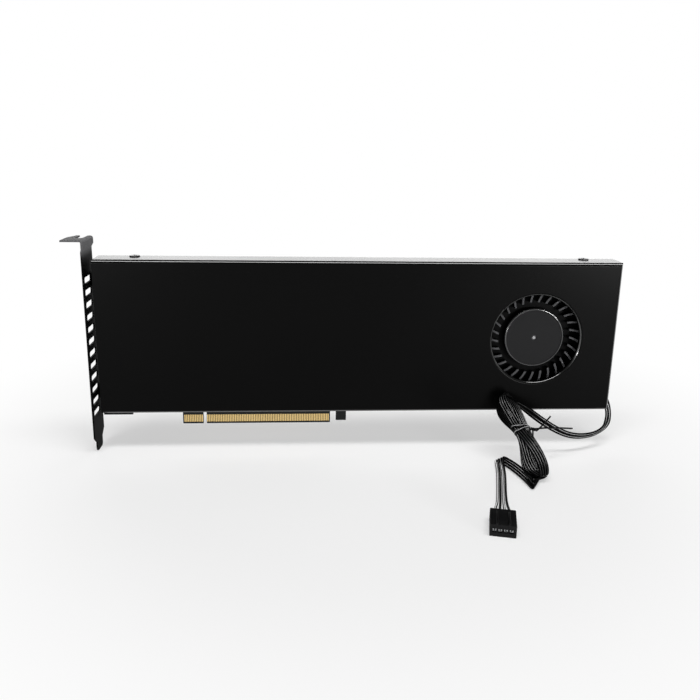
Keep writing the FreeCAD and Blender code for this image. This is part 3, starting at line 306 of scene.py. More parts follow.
def beyond(place, reach):
    """Where a band starts and ends, given in millimetres from a place."""
    return [place + distance * MM for distance in reach]


def black_paint(name, gloss, peel, shade=None):
    """Paint with drifting gloss and orange peel, and a drifting shade unless its colour is given later."""
    paint = Finish(name)
    drift = paint.noise(DRIFT_SCALE, detail=3.0)
    speck = paint.noise(SPECK_SCALE, detail=1.0)
    if shade:
        ends = [[shade * share] * 3 for share in SHADE_SPAN]
        paint.surface(Base_Color=paint.tint(drift, *ends))
    paint.surface(
        Roughness=drift * GLOSS_DRIFT + speck * GLOSS_SPECK + (gloss - GLOSS_MIDDLE),
        Normal=paint.relief(paint.noise(PEEL_SCALE), peel * MM, PEEL_STRENGTH),
    )
    return paint


print("paint recipe ready")

# %% The cover and the back plate
FRONT = -11.4 * MM
COVER_TOP = 97.6
TOP = COVER_TOP * MM
BEND_START = (0.14, 0.24)
BEND_END = (0.70, 0.90)
BEHIND_BEND = (1.3, 1.6)
TOP_EDGE = (-0.2, -0.1)
TOP_COAT = 0.015

cover_paint = black_paint("cover_paint", 0.29, 0.002, shade=0.0008)
depth = cover_paint.along("Y")
bend_start = cover_paint.band(depth, *beyond(FRONT, BEND_START))
bend_end = cover_paint.band(depth, *beyond(FRONT, BEND_END))
behind_bend = cover_paint.band(depth, *beyond(FRONT, BEHIND_BEND))
flat_top = behind_bend * cover_paint.band(cover_paint.along("Z"), *beyond(TOP, TOP_EDGE))
cover_paint.surface(
    Specular_IOR_Level=0.06,
    Coat_Weight=bend_start - bend_end + flat_top * TOP_COAT,
    Coat_Roughness=0.12,
    Coat_IOR=1.8,
)
back_paint = black_paint("back_paint", 0.40, 0.008, shade=0.004)
back_paint.surface(Specular_IOR_Level=0.2)
print("cover's top at", COVER_TOP, "mm, its face at", round(FRONT / MM, 1), "mm")

# %% The bracket
PAINTED_LIGHT_ABOVE = (0.5, 6.0)
BRACKET_BLACK = (0.0008, 0.0008, 0.0009)
BRACKET_PAINTED_LIGHT = (0.10, 0.10, 0.103)

bracket_paint = black_paint("bracket_paint", 0.58, 0.010)
# Painted light: the bracket is grey above the cover's top and black below it, in the cover's shade.
painted_light_band = bracket_paint.band(bracket_paint.along("Z"), *beyond(TOP, PAINTED_LIGHT_ABOVE))
bracket_paint.surface(
    Base_Color=bracket_paint.tint(painted_light_band, BRACKET_BLACK, BRACKET_PAINTED_LIGHT),
    Specular_IOR_Level=0.03,
)
print("bracket is grey from", COVER_TOP + PAINTED_LIGHT_ABOVE[1], "mm up")

# %% [markdown]
# The impeller is moulded in one piece. Its colour holds painted light: the blade tips are painted grey
# where the light reaches them, the hub is painted darker, and the gaps between the blades are painted
# black, a painted shade that deepens with depth. The hub's rounded rim is polished and takes a clear coat,
# as the cover's folds do.

# %% Blower plastic
FAN_X = 188.9 * MM
FAN_Z = 53.6 * MM
HUB_RADIUS = 17.2 * MM
GAP_DEPTH = (-6.9, -6.2)
RIM_INSIDE = (-1.0, -0.7)
RIM_OUTSIDE = (0.1, 0.4)
BLADE_ROOTS = (1.0, 2.0)
HUB_SHARE = 0.2
GAP_PAINTED_SHADE = (0.0006, 0.0006, 0.0007)
TIP_PAINTED_LIGHT = (0.07, 0.07, 0.073)

impeller_plastic = Finish("impeller_plastic")
grain = impeller_plastic.noise(2200.0)
# Painted shade: darker deeper into the gaps. Painted light: the blade tips grey, the hub darker.
painted_light_by_depth = 1.0 - impeller_plastic.band(impeller_plastic.along("Y"), *beyond(0.0, GAP_DEPTH))
radius = impeller_plastic.from_axis(FAN_X, FAN_Z)
rim_start = impeller_plastic.band(radius, *beyond(HUB_RADIUS, RIM_INSIDE))
rim_end = impeller_plastic.band(radius, *beyond(HUB_RADIUS, RIM_OUTSIDE))
tips = impeller_plastic.band(radius, *beyond(HUB_RADIUS, BLADE_ROOTS))
impeller_painted_light = painted_light_by_depth * (HUB_SHARE + tips * (1.0 - HUB_SHARE))
impeller_plastic.surface(
    Base_Color=impeller_plastic.tint(impeller_painted_light, GAP_PAINTED_SHADE, TIP_PAINTED_LIGHT),
    Roughness=grain * 0.14 + 0.36,
    Normal=impeller_plastic.relief(grain, 0.02 * MM, 0.5),
    Coat_Weight=(rim_start - rim_end) * painted_light_by_depth,
    Coat_Roughness=0.14,
    Coat_IOR=1.8,
    Specular_IOR_Level=0.045,
)
print("impeller finish ready")

# %% [markdown]
# The small parts share one recipe: a colour that varies from patch to patch, and a grain that breaks up
# the gloss and stands about a hundredth of a millimetre high. The shaft leaves the colour out: only a dot
# at the middle of its end is grey, and the rest is painted black, a painted shade for the dark ring round
# the shaft's end.

# %% Metals, board and mouldings
PATCH_SCALE = 60.0
PATCH_SPAN = (0.85, 1.12)
GRAIN_GLOSS = 0.12
GRAIN_STRENGTH = 0.5


def grained(name, roughness, colour=None, metallic=0.0, scale=1500.0, relief=0.01, gloss=0.5):
    """A finish with a fine grain, and a colour that varies by patches unless it is given later."""
    finish = Finish(name)
    grain = finish.noise(scale)
    if colour:
        ends = [[part * share for part in colour] for share in PATCH_SPAN]
        finish.surface(Base_Color=finish.tint(finish.noise(PATCH_SCALE), *ends))
    finish.surface(
        Roughness=grain * GRAIN_GLOSS + (roughness - GRAIN_GLOSS / 2),
        Normal=finish.relief(grain, relief * MM, GRAIN_STRENGTH),
        Metallic=metallic,
        Specular_IOR_Level=gloss,
    )
    return finish


frame_plastic = grained("frame_plastic", 0.5, (0.003, 0.003, 0.0032), scale=2200.0, relief=0.02, gloss=0.2)
screw_black = grained("screw_black", 0.4, (0.006, 0.006, 0.0065), gloss=0.3)
bright_steel = grained("bright_steel", 0.3, (0.56, 0.57, 0.58), metallic=1.0)
dark_steel = grained("dark_steel", 0.4, (0.05, 0.05, 0.052), metallic=1.0)
solder_mask = grained("solder_mask", 0.45, (0.006, 0.007, 0.007), scale=700.0, relief=0.006, gloss=0.15)
gold_plate = grained("gold_plate", 0.22, (0.83, 0.60, 0.26), metallic=1.0)
bronze = grained("bronze", 0.45, (0.5, 0.34, 0.18), metallic=1.0)
copper_wire = grained("copper_wire", 0.3, (0.62, 0.27, 0.11), metallic=1.0)
ferrite = grained("ferrite", 0.55, (0.08, 0.08, 0.085))
moulded_black = grained("moulded_black", 0.45, (0.010, 0.010, 0.011), scale=1800.0, relief=0.015, gloss=0.35)
plug_plastic = grained("plug_plastic", 0.5, (0.004, 0.004, 0.0043), scale=1800.0, relief=0.01, gloss=0.12)
soft_pad = grained("soft_pad", 0.7, (0.40, 0.42, 0.45))
anodised = grained("anodised", 0.35, (0.05, 0.05, 0.053), metallic=0.8)
can_metal = grained("can_metal", 0.25, (0.7, 0.7, 0.71), metallic=1.0)
print("small finishes ready")

# %% The shaft's end
SHAFT_DOT = (0.75, 1.0)
DOT_GREY = (0.22, 0.22, 0.225)
SHAFT_PAINTED_SHADE = (0.006, 0.006, 0.0062)

shaft_steel = grained("shaft_steel", 0.4, metallic=1.0)
# Painted shade: the shaft is black away from a grey dot at the middle of its end.
off_centre = shaft_steel.band(shaft_steel.from_axis(FAN_X, FAN_Z), *beyond(0.0, SHAFT_DOT))
shaft_steel.surface(Base_Color=shaft_steel.tint(off_centre, DOT_GREY, SHAFT_PAINTED_SHADE))
print("shaft finish ready")

# %% Finishes on the solids
NODE_FINISHES = {
    cover_paint: ("shroud",),
    back_paint: ("back_plate",),
    bracket_paint: ("bracket",),
    impeller_plastic: ("impeller",),
    frame_plastic: ("fan_frame",),
    bright_steel: (
        "shroud_standoffs", "back_spacers", "drive_standoffs", "drive_screws", "shaft_clip", "stator_core",
        "plug_contacts",
    ),
    dark_steel: ("rotor_cup",),
    shaft_steel: ("fan_shaft",),
    solder_mask: ("circuit_board", "fan_driver_board"),
    gold_plate: ("edge_contacts_front", "edge_contacts_back"),
    bronze: ("fan_bearing",),
    copper_wire: ("stator_coils",),
    ferrite: ("rotor_magnet", "power_inductors"),
    moulded_black: ("drive_sockets", "switch_chip"),
    soft_pad: ("thermal_pad",),
    anodised: ("heat_sink",),
    can_metal: ("power_capacitors",),
}
for finish, names in NODE_FINISHES.items():
    for name in names:
        nodes[name].data.materials.clear()
        nodes[name].data.materials.append(finish.material)
print("finished solids:", sum(len(names) for names in NODE_FINISHES.values()))

# %% [markdown]
# The fan lead is a flat ribbon of four wires. It comes out of a slot in the cover's end, hangs in a
# sagging bow, goes over the top of a tied hank and down its front, makes its turns there, and leaves over
# the hank's foot to its plug on the floor, with two flat folds on the way. One smooth curve carries all
# of it. A second curve with the same settings runs beside it, a step to the ribbon's side, so that the
# two together say which way the flat side faces and how far the wires lie apart.

# %% The bow
VIEWER = Vector((-0.30, -0.876, 0.375))
BOW = [
    ((0.23658, -0.00136, 0.01461), 0),
    ((0.2389, -0.0015, 0.0110), -30),
    ((0.2397, -0.0035, 0.0055), -40),
    ((0.2381, -0.0066, 0.0010), -40),
    ((0.2333, -0.0112, -0.0017), -70),
    ((0.2253, -0.0160, -0.0029), -66),
    ((0.2153, -0.0200, -0.0022), -56),
    ((0.2066, -0.0220, 0.0003), -50),
    ((0.1986, -0.0222, 0.0045), -42),
    ((0.1919, -0.0210, 0.0086), -36),
    ((0.1857, -0.0192, 0.0131), -38),
    ((0.1793, -0.0176, 0.0175), -58),
]
EXIT_POINTS = 3
EXIT_SPREAD = 0.8

bow = [Vector(place) for place, twist in BOW]
bow_sides = []
for count, (place, twist) in enumerate(BOW):
    ahead = bow[min(count + 1, len(bow) - 1)]
    way = (ahead - bow[max(count - 1, 0)]).normalized()
    flat = VIEWER.cross(way).normalized()
    lift = (VIEWER - way * VIEWER.dot(way)).normalized()
    turn = math.radians(twist)
    spread = EXIT_SPREAD if count < EXIT_POINTS else 1.0
    bow_sides.append((flat * math.cos(turn) + lift * math.sin(turn)) * spread)
print("points in the bow:", len(bow))

# %% The tail
TAIL = [
    ((0.1789, -0.0590, -0.0093), (-0.08, 0.80, -0.25)),
    ((0.1766, -0.0618, -0.0102), (0.13, 0.80, 0.21)),
    ((0.1751, -0.0647, -0.0098), (0.38, 0.84, 0.55)),
    ((0.1749, -0.0602, -0.0095), (0.65, 0.37, 0.60)),
    ((0.1743, -0.0541, -0.0096), (0.84, 0.32, 0.55)),
    ((0.1719, -0.0440, -0.0096), (1.01, 0.14, 0.50)),
    ((0.1697, -0.0380, -0.0097), (0.99, 0.20, 0.51)),
    ((0.1673, -0.0322, -0.0098), (1.03, -0.06, 0.54)),
    ((0.1662, -0.0322, -0.0099), (1.03, -0.06, 0.50)),
    ((0.1650, -0.0378, -0.0103), (0.97, -0.13, 0.22)),
    ((0.1637, -0.0449, -0.0109), (1.07, 0.00, 0.02)),
    ((0.1618, -0.0530, -0.0111), (1.14, 0.04, 0.00)),
    ((0.1577, -0.0682, -0.0111), (1.06, -0.12, 0.00)),
    ((0.1545, -0.0805, -0.0108), (1.16, -0.22, 0.00)),
    ((0.1524, -0.0880, -0.0100), (1.70, -0.38, 0.00)),
    ((0.1507, -0.0946, -0.0088), (1.97, -0.51, 0.00)),
]

tail = [Vector(place) for place, side in TAIL]
tail_sides = [Vector(side) for place, side in TAIL]
print("points in the tail:", len(tail))

# %% [markdown]
# The spare length is wound into long turns and tied above the middle, so the hank has the outline of a
# dumb-bell. Its own three directions are its length, its width as the viewer sees it and the depth away
# from the viewer. One turn is written down as a list of points round that outline. A loop repeats it: the
# first turn is the smallest and lies nearest to the viewer, and each later one is larger and lies a
# little further back.

# %% The hank's frame
HANK_TOP = Vector((0.1710, -0.0149, 0.0225))
HANK_FOOT = Vector((0.1833, -0.0560, -0.0083))
TIE_SHARE = 0.42
TO_THE_RIGHT = Vector((0.875, -0.093, 0.474))

hank_axis = (HANK_TOP - HANK_FOOT).normalized()
hank_across = (TO_THE_RIGHT - hank_axis * TO_THE_RIGHT.dot(hank_axis)).normalized()
hank_depth = hank_axis.cross(hank_across)
tie_point = HANK_TOP.lerp(HANK_FOOT, TIE_SHARE)


def in_hank(along, across, depth):
    """A point of the hank, given in millimetres from the tie."""
    return tie_point + (hank_axis * along + hank_across * across + hank_depth * depth) * MM


def facing(degrees):
    """The ribbon's side direction, where 0 shows its flat side to the viewer and 90 shows its edge."""
    turn = math.radians(degrees)
    return hank_across * math.cos(turn) + hank_depth * math.sin(turn)


print("hank:", round((HANK_TOP - HANK_FOOT).length / MM, 1), "mm long")

# %% The front strand
FRONT_STRAND = [
    (17.6, 3.6, 3.8, 80, 0.0),
    (20.0, 2.4, 2.2, 80, 0.2),
    (21.4, 1.0, -0.4, 60, 0.5),
    (20.2, -0.9, -2.4, 25, 0.5),
    (17.6, -1.8, -3.0, 5, 0.25),
    (14.4, -2.0, -3.0, 0, 0.0),
    (9.5, -1.7, -3.0, 0, 0.0),
    (4.0, -1.3, -3.0, 0, 0.0),
    (-0.7, -0.8, -2.4, 0, 0.0),
    (-5.3, 0.1, -2.4, 0, 0.0),
    (-11.2, 1.5, -3.0, 0, 0.0),
    (-17.3, 2.4, -3.0, 0, 0.0),
    (-23.1, 2.7, -3.0, 0, 0.0),
    (-28.6, 2.1, -2.8, 0, 0.0),
    (-32.4, 0.2, -2.4, 5, 0.0),
]

hank = []
hank_sides = []
for along, across, depth, degrees, tilt in FRONT_STRAND:
    hank.append(in_hank(along, across, depth))
    hank_sides.append(facing(degrees) + hank_axis * tilt)
print("points in the front strand:", len(hank))

# %% The turns
TURNS = 3
OUTLINE = [
    (-30.4, -4.8, 20), (-26.5, -7.2, 10), (-20.5, -7.0, 10), (-14.5, -4.4, 10), (-9.0, -2.2, 15),
    (-4.0, -1.3, 20), (1.0, -3.2, 30), (6.0, -6.0, 45), (10.5, -7.4, 55), (14.6, -7.0, 60),
    (18.2, -5.2, 60), (20.6, -2.2, 60), (21.2, 0.6, 60), (19.0, 2.2, 55), (15.5, 3.0, 45),
    (11.0, 3.2, 35), (6.0, 3.0, 30), (1.0, 2.4, 25), (-4.0, 2.2, 20), (-9.0, 2.5, 15),
    (-14.0, 3.0, 10), (-20.0, 3.1, 10), (-25.6, 2.5, 10), (-29.6, 1.0, 20), (-31.0, -1.6, 30),
]
UPPER_CORE = (10.0, -1.0)
LOWER_CORE = (-19.0, -1.0)
WAIST = -4
LOBE_REACH = 26
LENGTH_SHRINK = 0.10
WIDTH_SHRINK = 0.30
FIRST_DEPTH = -1.5
TURN_DEPTH = 1.9
END_DEPTH = 0.55


def turn_point(layer, depth, along, across):
    """A point of the outline, drawn in towards the middle of its lobe by the layers outside it."""
    core = UPPER_CORE if along > WAIST else LOWER_CORE
    share = min(1.0, abs(along - WAIST) / LOBE_REACH)
    along = along + (core[0] - along) * LENGTH_SHRINK * layer * share
    across = across + (core[1] - across) * WIDTH_SHRINK * layer
    return in_hank(along, across, depth * (1 + (END_DEPTH - 1) * share ** 2))


steps = TURNS * len(OUTLINE)
for step in range(steps):
    along, across, degrees = OUTLINE[step % len(OUTLINE)]
    layer = (TURNS - 1) * (1 - step / (steps - 1))
    depth = FIRST_DEPTH + TURN_DEPTH * step / len(OUTLINE)
    hank.append(turn_point(layer, depth, along, across))
    hank_sides.append(facing(degrees))
route = bow + hank + tail
route_sides = bow_sides + hank_sides + tail_sides
print("control points of the lead:", len(route))

# %% [markdown]
# Each wire is a round tube that follows the smooth curve at its own place across the ribbon. The
# insulation is soft black plastic. A number on each vertex says how near it is to its wire's crown. The
# crowns carry a thin clear coat and a painted highlight, a thin pale line in their colour, and the grooves
# between the wires stay dark. The painted highlight is faint in the hank, stronger on the bow and strongest
# by the plug, and two of the wires are duller, with a fainter coat and painted highlight. Towards the plug
# the four wires part, because the plug's pins are further apart than the wires of a ribbon.

# %% Smooth curves
CURVE_STEPS = 7


def smooth_line(points):
    """Points along a smooth curve that has the given ones as its control points."""
    curve = bpy.data.curves.new("route", "CURVE")
    curve.dimensions = "3D"
    curve.resolution_u = CURVE_STEPS
    spline = curve.splines.new("NURBS")
    spline.points.add(len(points) - 1)
    for slot, place in zip(spline.points, points):
        slot.co = (*place, 1.0)
    spline.order_u = 3
    spline.use_endpoint_u = True
    holder = bpy.data.objects.new("route", curve)
    mesh = bpy.data.meshes.new_from_object(holder)
    line = [vertex.co.copy() for vertex in mesh.vertices]
    bpy.data.objects.remove(holder)
    bpy.data.curves.remove(curve)
    bpy.data.meshes.remove(mesh)
    return line


def line_length(line):
    return sum((after - before).length for before, after in zip(line, line[1:]))


print("steps of a curve to each point:", CURVE_STEPS)

# %% Tubes
TUBE_SIDES = 12


def add_tube(vertices, faces, line, radius):
    """Adds one closed tube along a line to the lists of a mesh."""
    ends = [line[0]] + line + [line[-1]]
    ways = [(after - before).normalized() for before, after in zip(ends, ends[2:])]
    out = ways[0].orthogonal().normalized()
    first = len(vertices)
    for place, way in zip(line, ways):
        out = (out - way * out.dot(way)).normalized()
        over = way.cross(out)
        for side in range(TUBE_SIDES):
            angle = math.tau * side / TUBE_SIDES
            vertices.append(place + (out * math.cos(angle) + over * math.sin(angle)) * radius)
    for ring in range(len(line) - 1):
        low = first + ring * TUBE_SIDES
        for side in range(TUBE_SIDES):
            after = (side + 1) % TUBE_SIDES
            faces.append((low + side, low + after, low + TUBE_SIDES + after, low + TUBE_SIDES + side))
    last = first + (len(line) - 1) * TUBE_SIDES
    faces.append(tuple(reversed(range(first, first + TUBE_SIDES))))
    faces.append(tuple(range(last, last + TUBE_SIDES)))


def tube_piece(name, lines, radius, finish):
    """One piece made of a tube along each line."""
    vertices = []
    faces = []
    for line in lines:
        add_tube(vertices, faces, line, radius)
    mesh = bpy.data.meshes.new(name)
    mesh.from_pydata([tuple(place) for place in vertices], [], faces)
    mesh.materials.append(finish.material)
    mesh.shade_smooth()
    piece = bpy.data.objects.new(name, mesh)
    bpy.context.scene.collection.objects.link(piece)
    return piece


print("sides of a tube:", TUBE_SIDES)

# %% Insulation
CROWN_EDGE = (0.82, 0.99)
PLUG_END = (0.1640, 0.1660)
BOW_END = (0.186, 0.194)
HANK_HIGHLIGHT = 0.035
PLUG_HIGHLIGHT = 2.6
BOW_HIGHLIGHT = 0.8
INSULATION_BLACK = (0.0006, 0.0006, 0.0007)
HIGHLIGHT_WHITE = (0.95, 0.95, 0.955)

insulation = Finish("insulation")
insulation_drift = insulation.noise(220.0)
near_crown = insulation.node("ShaderNodeAttribute", {"attribute_name": "crown"}, output="Fac")
crown = insulation.band(near_crown, *CROWN_EDGE)
from_left = insulation.along("X")
by_plug = 1.0 - insulation.band(from_left, *PLUG_END)
on_bow = insulation.band(from_left, *BOW_END)
# The pale line on the wires' crowns is a painted highlight, strongest by the plug and on the bow.
highlight_strength = HANK_HIGHLIGHT + by_plug * PLUG_HIGHLIGHT + on_bow * BOW_HIGHLIGHT
unevenness = insulation_drift * 0.5 + 0.6
crown_highlight = crown * unevenness * highlight_strength
insulation.surface(
    Base_Color=insulation.tint(crown_highlight, INSULATION_BLACK, HIGHLIGHT_WHITE),
    Roughness=insulation_drift * 0.1 + 0.3,
    Normal=insulation.relief(insulation.noise(1400.0), 0.003 * MM, 0.3),
    Specular_IOR_Level=0.02,
    Coat_Weight=crown,
    Coat_Roughness=0.18,
    Coat_IOR=1.6,
)
print("insulation ready")

# %% The wires
WIRES = 4
WIRE_RADIUS = 0.61 * MM
WIRE_PITCH = 1.28
WIRE_SHINE = (1.0, 0.82, 1.0, 0.84)


def wire_lines(centre, edge):
    """The four wires' lines, beside each other between two lines that are a step apart."""
    places = [(wire - (WIRES - 1) / 2) * WIRE_PITCH for wire in range(WIRES)]
    return [[middle + (side - middle) * place for middle, side in zip(centre, edge)] for place in places]


def mark_crowns(piece, lines, centre, edge, hank_steps):
    """Notes on every vertex how squarely it faces the ribbon's flat sides, less so on the duller wires, whose
    coat and painted highlight are fainter.
    """
    ends = [centre[0]] + centre + [centre[-1]]
    ways = [after - before for before, after in zip(ends, ends[2:])]
    flats = [way.cross(side - middle).normalized() for way, middle, side in zip(ways, centre, edge)]
    crowns = []
    for wire, line in enumerate(lines):
        for step, (place, flat) in enumerate(zip(line, flats)):
            shine = 1.0 if step in hank_steps else WIRE_SHINE[wire]
            for vertex in range(len(crowns), len(crowns) + TUBE_SIDES):
                out = (piece.data.vertices[vertex].co - place).normalized()
                crowns.append(out.dot(flat) ** 2 * shine)
    note = piece.data.attributes.new("crown", "FLOAT", "POINT")
    note.data.foreach_set("value", crowns)


centre_line = smooth_line(route)
edge_line = smooth_line([place + side * MM for place, side in zip(route, route_sides)])
lead_lines = wire_lines(centre_line, edge_line)
lead = tube_piece("fan_lead_wires", lead_lines, WIRE_RADIUS, insulation)
steps_per_point = len(centre_line) / len(route)
hank_steps = range(round(len(bow) * steps_per_point), round(len(bow + hank) * steps_per_point))
mark_crowns(lead, lead_lines, centre_line, edge_line, hank_steps)

# %% [markdown]
# Behind the slot the same four wires run straight to the blower's driver board. They are hidden there, so
# straight lines are enough, and the tubes come from the same helpers.

# %% The lead inside the card
INNER_RADIUS = 0.53 * MM
INNER_INSET = (1.4, 1.6)

inner_low, inner_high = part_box("lead_inner")
inner_way = (bow[1] - bow[0]).normalized()
inner_side = Vector((-inner_way.z, 0.0, inner_way.x))
inner_start = Vector((inner_low.x + INNER_INSET[0] * MM, bow[0].y, inner_high.z - INNER_INSET[1] * MM))
inner_points = [inner_start, inner_start.lerp(bow[0], 0.5), bow[0]]
inner_edge = [place + inner_side * EXIT_SPREAD * MM for place in inner_points]
inner_lines = wire_lines(inner_points, inner_edge)
inner_lead = tube_piece("inner_lead_wires", inner_lines, INNER_RADIUS, insulation)
mark_crowns(inner_lead, inner_lines, inner_points, inner_edge, range(0))
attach(inner_lead, "card")
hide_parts("lead_inner")
print("inner lead:", round(line_length(inner_points) / MM, 1), "mm")

# %% [markdown]
# A short length of plastic-coated wire is wound twice round the hank's waist. Its ends are twisted round
# each other into a knot on the right, and they stick out from there. A bent wire is a line in space, so
# it is made as the ribbon's wires are: a smooth curve, then a tube along it. The windings' outer side
# carries a painted highlight, a paler line in its colour, so each vertex notes how squarely it faces
# away from the hank.

# %% The tie's windings
TIE_WRAPS = 2
WRAP_STEPS = 12
WRAP_MIDDLE = (0.45, 0.7)
WRAP_HALF = (4.5, 5.1)
WRAP_FULLNESS = 0.6
FIRST_WRAP = (-1.3, -0.35)
LAST_WRAP = (-3.7, 0.05)
FRONT_TURN = 0.75


def fuller(share):
    """Pushes a circle's coordinate outwards, so that the winding hugs a bundle with flat sides."""
    return math.copysign(abs(share) ** WRAP_FULLNESS, share)


def wrap_point(turn):
    """A point of the windings, counted in turns from the hank's right side, behind it first."""
    angle = math.tau * turn
    across = WRAP_MIDDLE[0] + WRAP_HALF[0] * fuller(math.cos(angle))
    depth = WRAP_MIDDLE[1] + WRAP_HALF[1] * fuller(math.sin(angle))
    past_front = turn - FRONT_TURN
    along, slope = [first + (last - first) * past_front for first, last in zip(FIRST_WRAP, LAST_WRAP)]
    return in_hank(along + slope * across, across, depth)


wraps = [wrap_point(step / WRAP_STEPS) for step in range(1, TIE_WRAPS * WRAP_STEPS)]
print("points in the windings:", len(wraps))

# %% The tie's knot and ends
TWIST_STEPS = 10
TWIST_TURNS = 1.5
TWIST_RADIUS = 0.65
KNOT_ROOT = (-4.0, 5.0, 0.0)
KNOT_END = (-6.0, 7.4, -0.2)
UPPER_END = Vector((0.1959, -0.0252, 0.0124))
UPPER_BEND = (0.5, -0.5)
LOWER_END = Vector((0.2087, -0.0266, 0.0056))
LOWER_BEND = (0.4, 0.7)
STUB_END = Vector((0.1850, -0.0304, 0.0022))
STUB_ROOT = 3
STUB_BEND = 5


def twist_line(start):
    """One of the two twisted strands, from the windings to the knot's end."""
    points = []
    for step in range(TWIST_STEPS + 1):
        share = step / TWIST_STEPS
        angle = math.tau * (start + TWIST_TURNS * share)
        along, across, depth = [low + (high - low) * share for low, high in zip(KNOT_ROOT, KNOT_END)]
        along = along + TWIST_RADIUS * math.cos(angle)
        depth = depth + TWIST_RADIUS * math.sin(angle)
        points.append(in_hank(along, across, depth))
    return points


def bend_point(strand, end, share, rise):
    """Where a strand bends on its way to its end: a share of the way along, and some millimetres higher."""
    return strand[-1].lerp(end, share) + Vector((0.0, 0.0, rise)) * MM


first_strand = twist_line(0.0)
second_strand = twist_line(0.5)
upper_end = [UPPER_END, bend_point(first_strand, UPPER_END, *UPPER_BEND)]
lower_end = [bend_point(second_strand, LOWER_END, *LOWER_BEND), LOWER_END]
tie_route = upper_end + first_strand[::-1] + wraps + second_strand + lower_end
stub_route = [first_strand[STUB_ROOT], first_strand[STUB_BEND].lerp(STUB_END, 0.5), STUB_END]
tie_lines = [smooth_line(tie_route), smooth_line(stub_route)]
print("tie wire:", round(sum(line_length(line) for line in tie_lines) / MM), "mm")

# %% The wire tie
TIE_RADIUS = 0.47 * MM
WINDING_REACH = 6.5 * MM
HIGHLIGHT_EDGE = (0.85, 0.98)
TIE_BLACK = (0.002, 0.002, 0.0022)
TIE_HIGHLIGHT_GREY = (0.45, 0.45, 0.455)


def mark_outside(piece, lines):
    """Notes on every vertex of the windings how squarely it faces away from the hank."""
    outside = []
    for line in lines:
        for place in line:
            away = place - tie_point
            away -= hank_axis * away.dot(hank_axis)
            wound = away.length < WINDING_REACH
            for vertex in range(len(outside), len(outside) + TUBE_SIDES):
                out = piece.data.vertices[vertex].co - place
                outside.append(max(0.0, out.normalized().dot(away.normalized())) if wound else 0.0)
    note = piece.data.attributes.new("crown", "FLOAT", "POINT")
    note.data.foreach_set("value", outside)


tie_plastic = grained("tie_plastic", 0.3, scale=1600.0, relief=0.004, gloss=0.1)
outer_side = tie_plastic.node("ShaderNodeAttribute", {"attribute_name": "crown"}, output="Fac")
# Painted highlight: a pale line on the windings' side that faces away from the hank.
outer_highlight = tie_plastic.band(outer_side, *HIGHLIGHT_EDGE)
tie_plastic.surface(Base_Color=tie_plastic.tint(outer_highlight, TIE_BLACK, TIE_HIGHLIGHT_GREY))
tie = tube_piece("wire_tie", tie_lines, TIE_RADIUS, tie_plastic)
mark_outside(tie, tie_lines)
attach(tie, "card")
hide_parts("lead_tie")
print("tie faces:", len(tie.data.polygons))

# %% [markdown]
# The plug and the screws are modelled as by hand: a primitive is added at its size, some of its faces or
# edges are chosen by where they lie, and operators shape them. These helpers keep each of those steps to
# one line.


# %% Blocks
def only(piece):
    bpy.ops.object.select_all(action="DESELECT")
    piece.select_set(True)
    bpy.context.view_layer.objects.active = piece


def add_block(name, low, high):
    """A box between two corners in millimetres, with its place in its mesh."""
    low = Vector(low) * MM
    high = Vector(high) * MM
    bpy.ops.object.select_all(action="DESELECT")
    bpy.ops.mesh.primitive_cube_add(size=1.0, location=(low + high) / 2)
    block = bpy.context.object
    block.name = name
    block.scale = high - low
    bpy.ops.object.transform_apply(location=True, rotation=True, scale=True)
    return block


print("block tools ready")

# %% Shaping chosen edges and faces
SAME_WAY = 0.99


def shape_edges(piece, wanted, shape):
    """Runs an operator on the edges whose two ends pass a test."""
    only(piece)
    bpy.ops.object.mode_set(mode="EDIT")
    bpy.ops.mesh.select_mode(type="EDGE")
    bpy.ops.mesh.select_all(action="DESELECT")
    bpy.ops.object.mode_set(mode="OBJECT")
    places = [vertex.co for vertex in piece.data.vertices]
    for edge in piece.data.edges:
        edge.select = all(wanted(places[end]) for end in edge.vertices)
    bpy.ops.object.mode_set(mode="EDIT")
    shape()
    bpy.ops.object.mode_set(mode="OBJECT")


def shape_faces(piece, normal, shape):
    """Runs operators on the faces that look one way."""
    only(piece)
    bpy.ops.object.mode_set(mode="EDIT")
    bpy.ops.mesh.select_mode(type="FACE")
    bpy.ops.mesh.select_all(action="DESELECT")
    bpy.ops.object.mode_set(mode="OBJECT")
    for face in piece.data.polygons:
        face.select = face.normal.dot(Vector(normal)) > SAME_WAY
    bpy.ops.object.mode_set(mode="EDIT")
    shape()
    bpy.ops.object.mode_set(mode="OBJECT")


print("shaping tools ready")

# %% Joining, cutting and setting down
SMOOTH_ANGLE = math.radians(35)


def combine(piece, other, operation):
    """Joins another solid to a piece or cuts it away, and removes the other solid."""
    only(piece)
    change = piece.modifiers.new(operation.lower(), "BOOLEAN")
    change.operation = operation
    change.object = other
    change.solver = "EXACT"
    bpy.ops.object.modifier_apply(modifier=change.name)
    bpy.data.objects.remove(other)


def set_down(piece, matrix):
    """Moves the mesh, so that the object stays at the origin, and smooths its round faces."""
    piece.data.transform(matrix)
    only(piece)
    bpy.ops.object.shade_smooth_by_angle(angle=SMOOTH_ANGLE)


print("round faces turn by less than", round(math.degrees(SMOOTH_ANGLE)), "degrees")

# %% [markdown]
# The lead ends in a four-way fan plug: a small moulded housing with rounded edges, two guide ribs on top,
# a hole for each wire at its back and a square opening for each pin at its front. It is shaped lying
# straight, from its back face along X, and then turned to lie as it does on the floor.

# %% The plug
PLUG_REAR = Vector((0.1507, -0.0945, -0.0118))
PLUG_HEADING = math.radians(-104.5)
PLUG_LENGTH = 16.0
PLUG_HALF = 6.05
PLUG_HEIGHT = 6.0
NEAR = 0.01
PLUG_CORNER = 1.0
PLUG_ROUNDING = 0.3
RIB_PLACES = (-2.8, 2.8)
RIB_HALF = 0.5
RIB_START = 4
RIB_LOW = 5.5
RIB_HIGH = 6.9
RIB_ROUNDING = 0.25

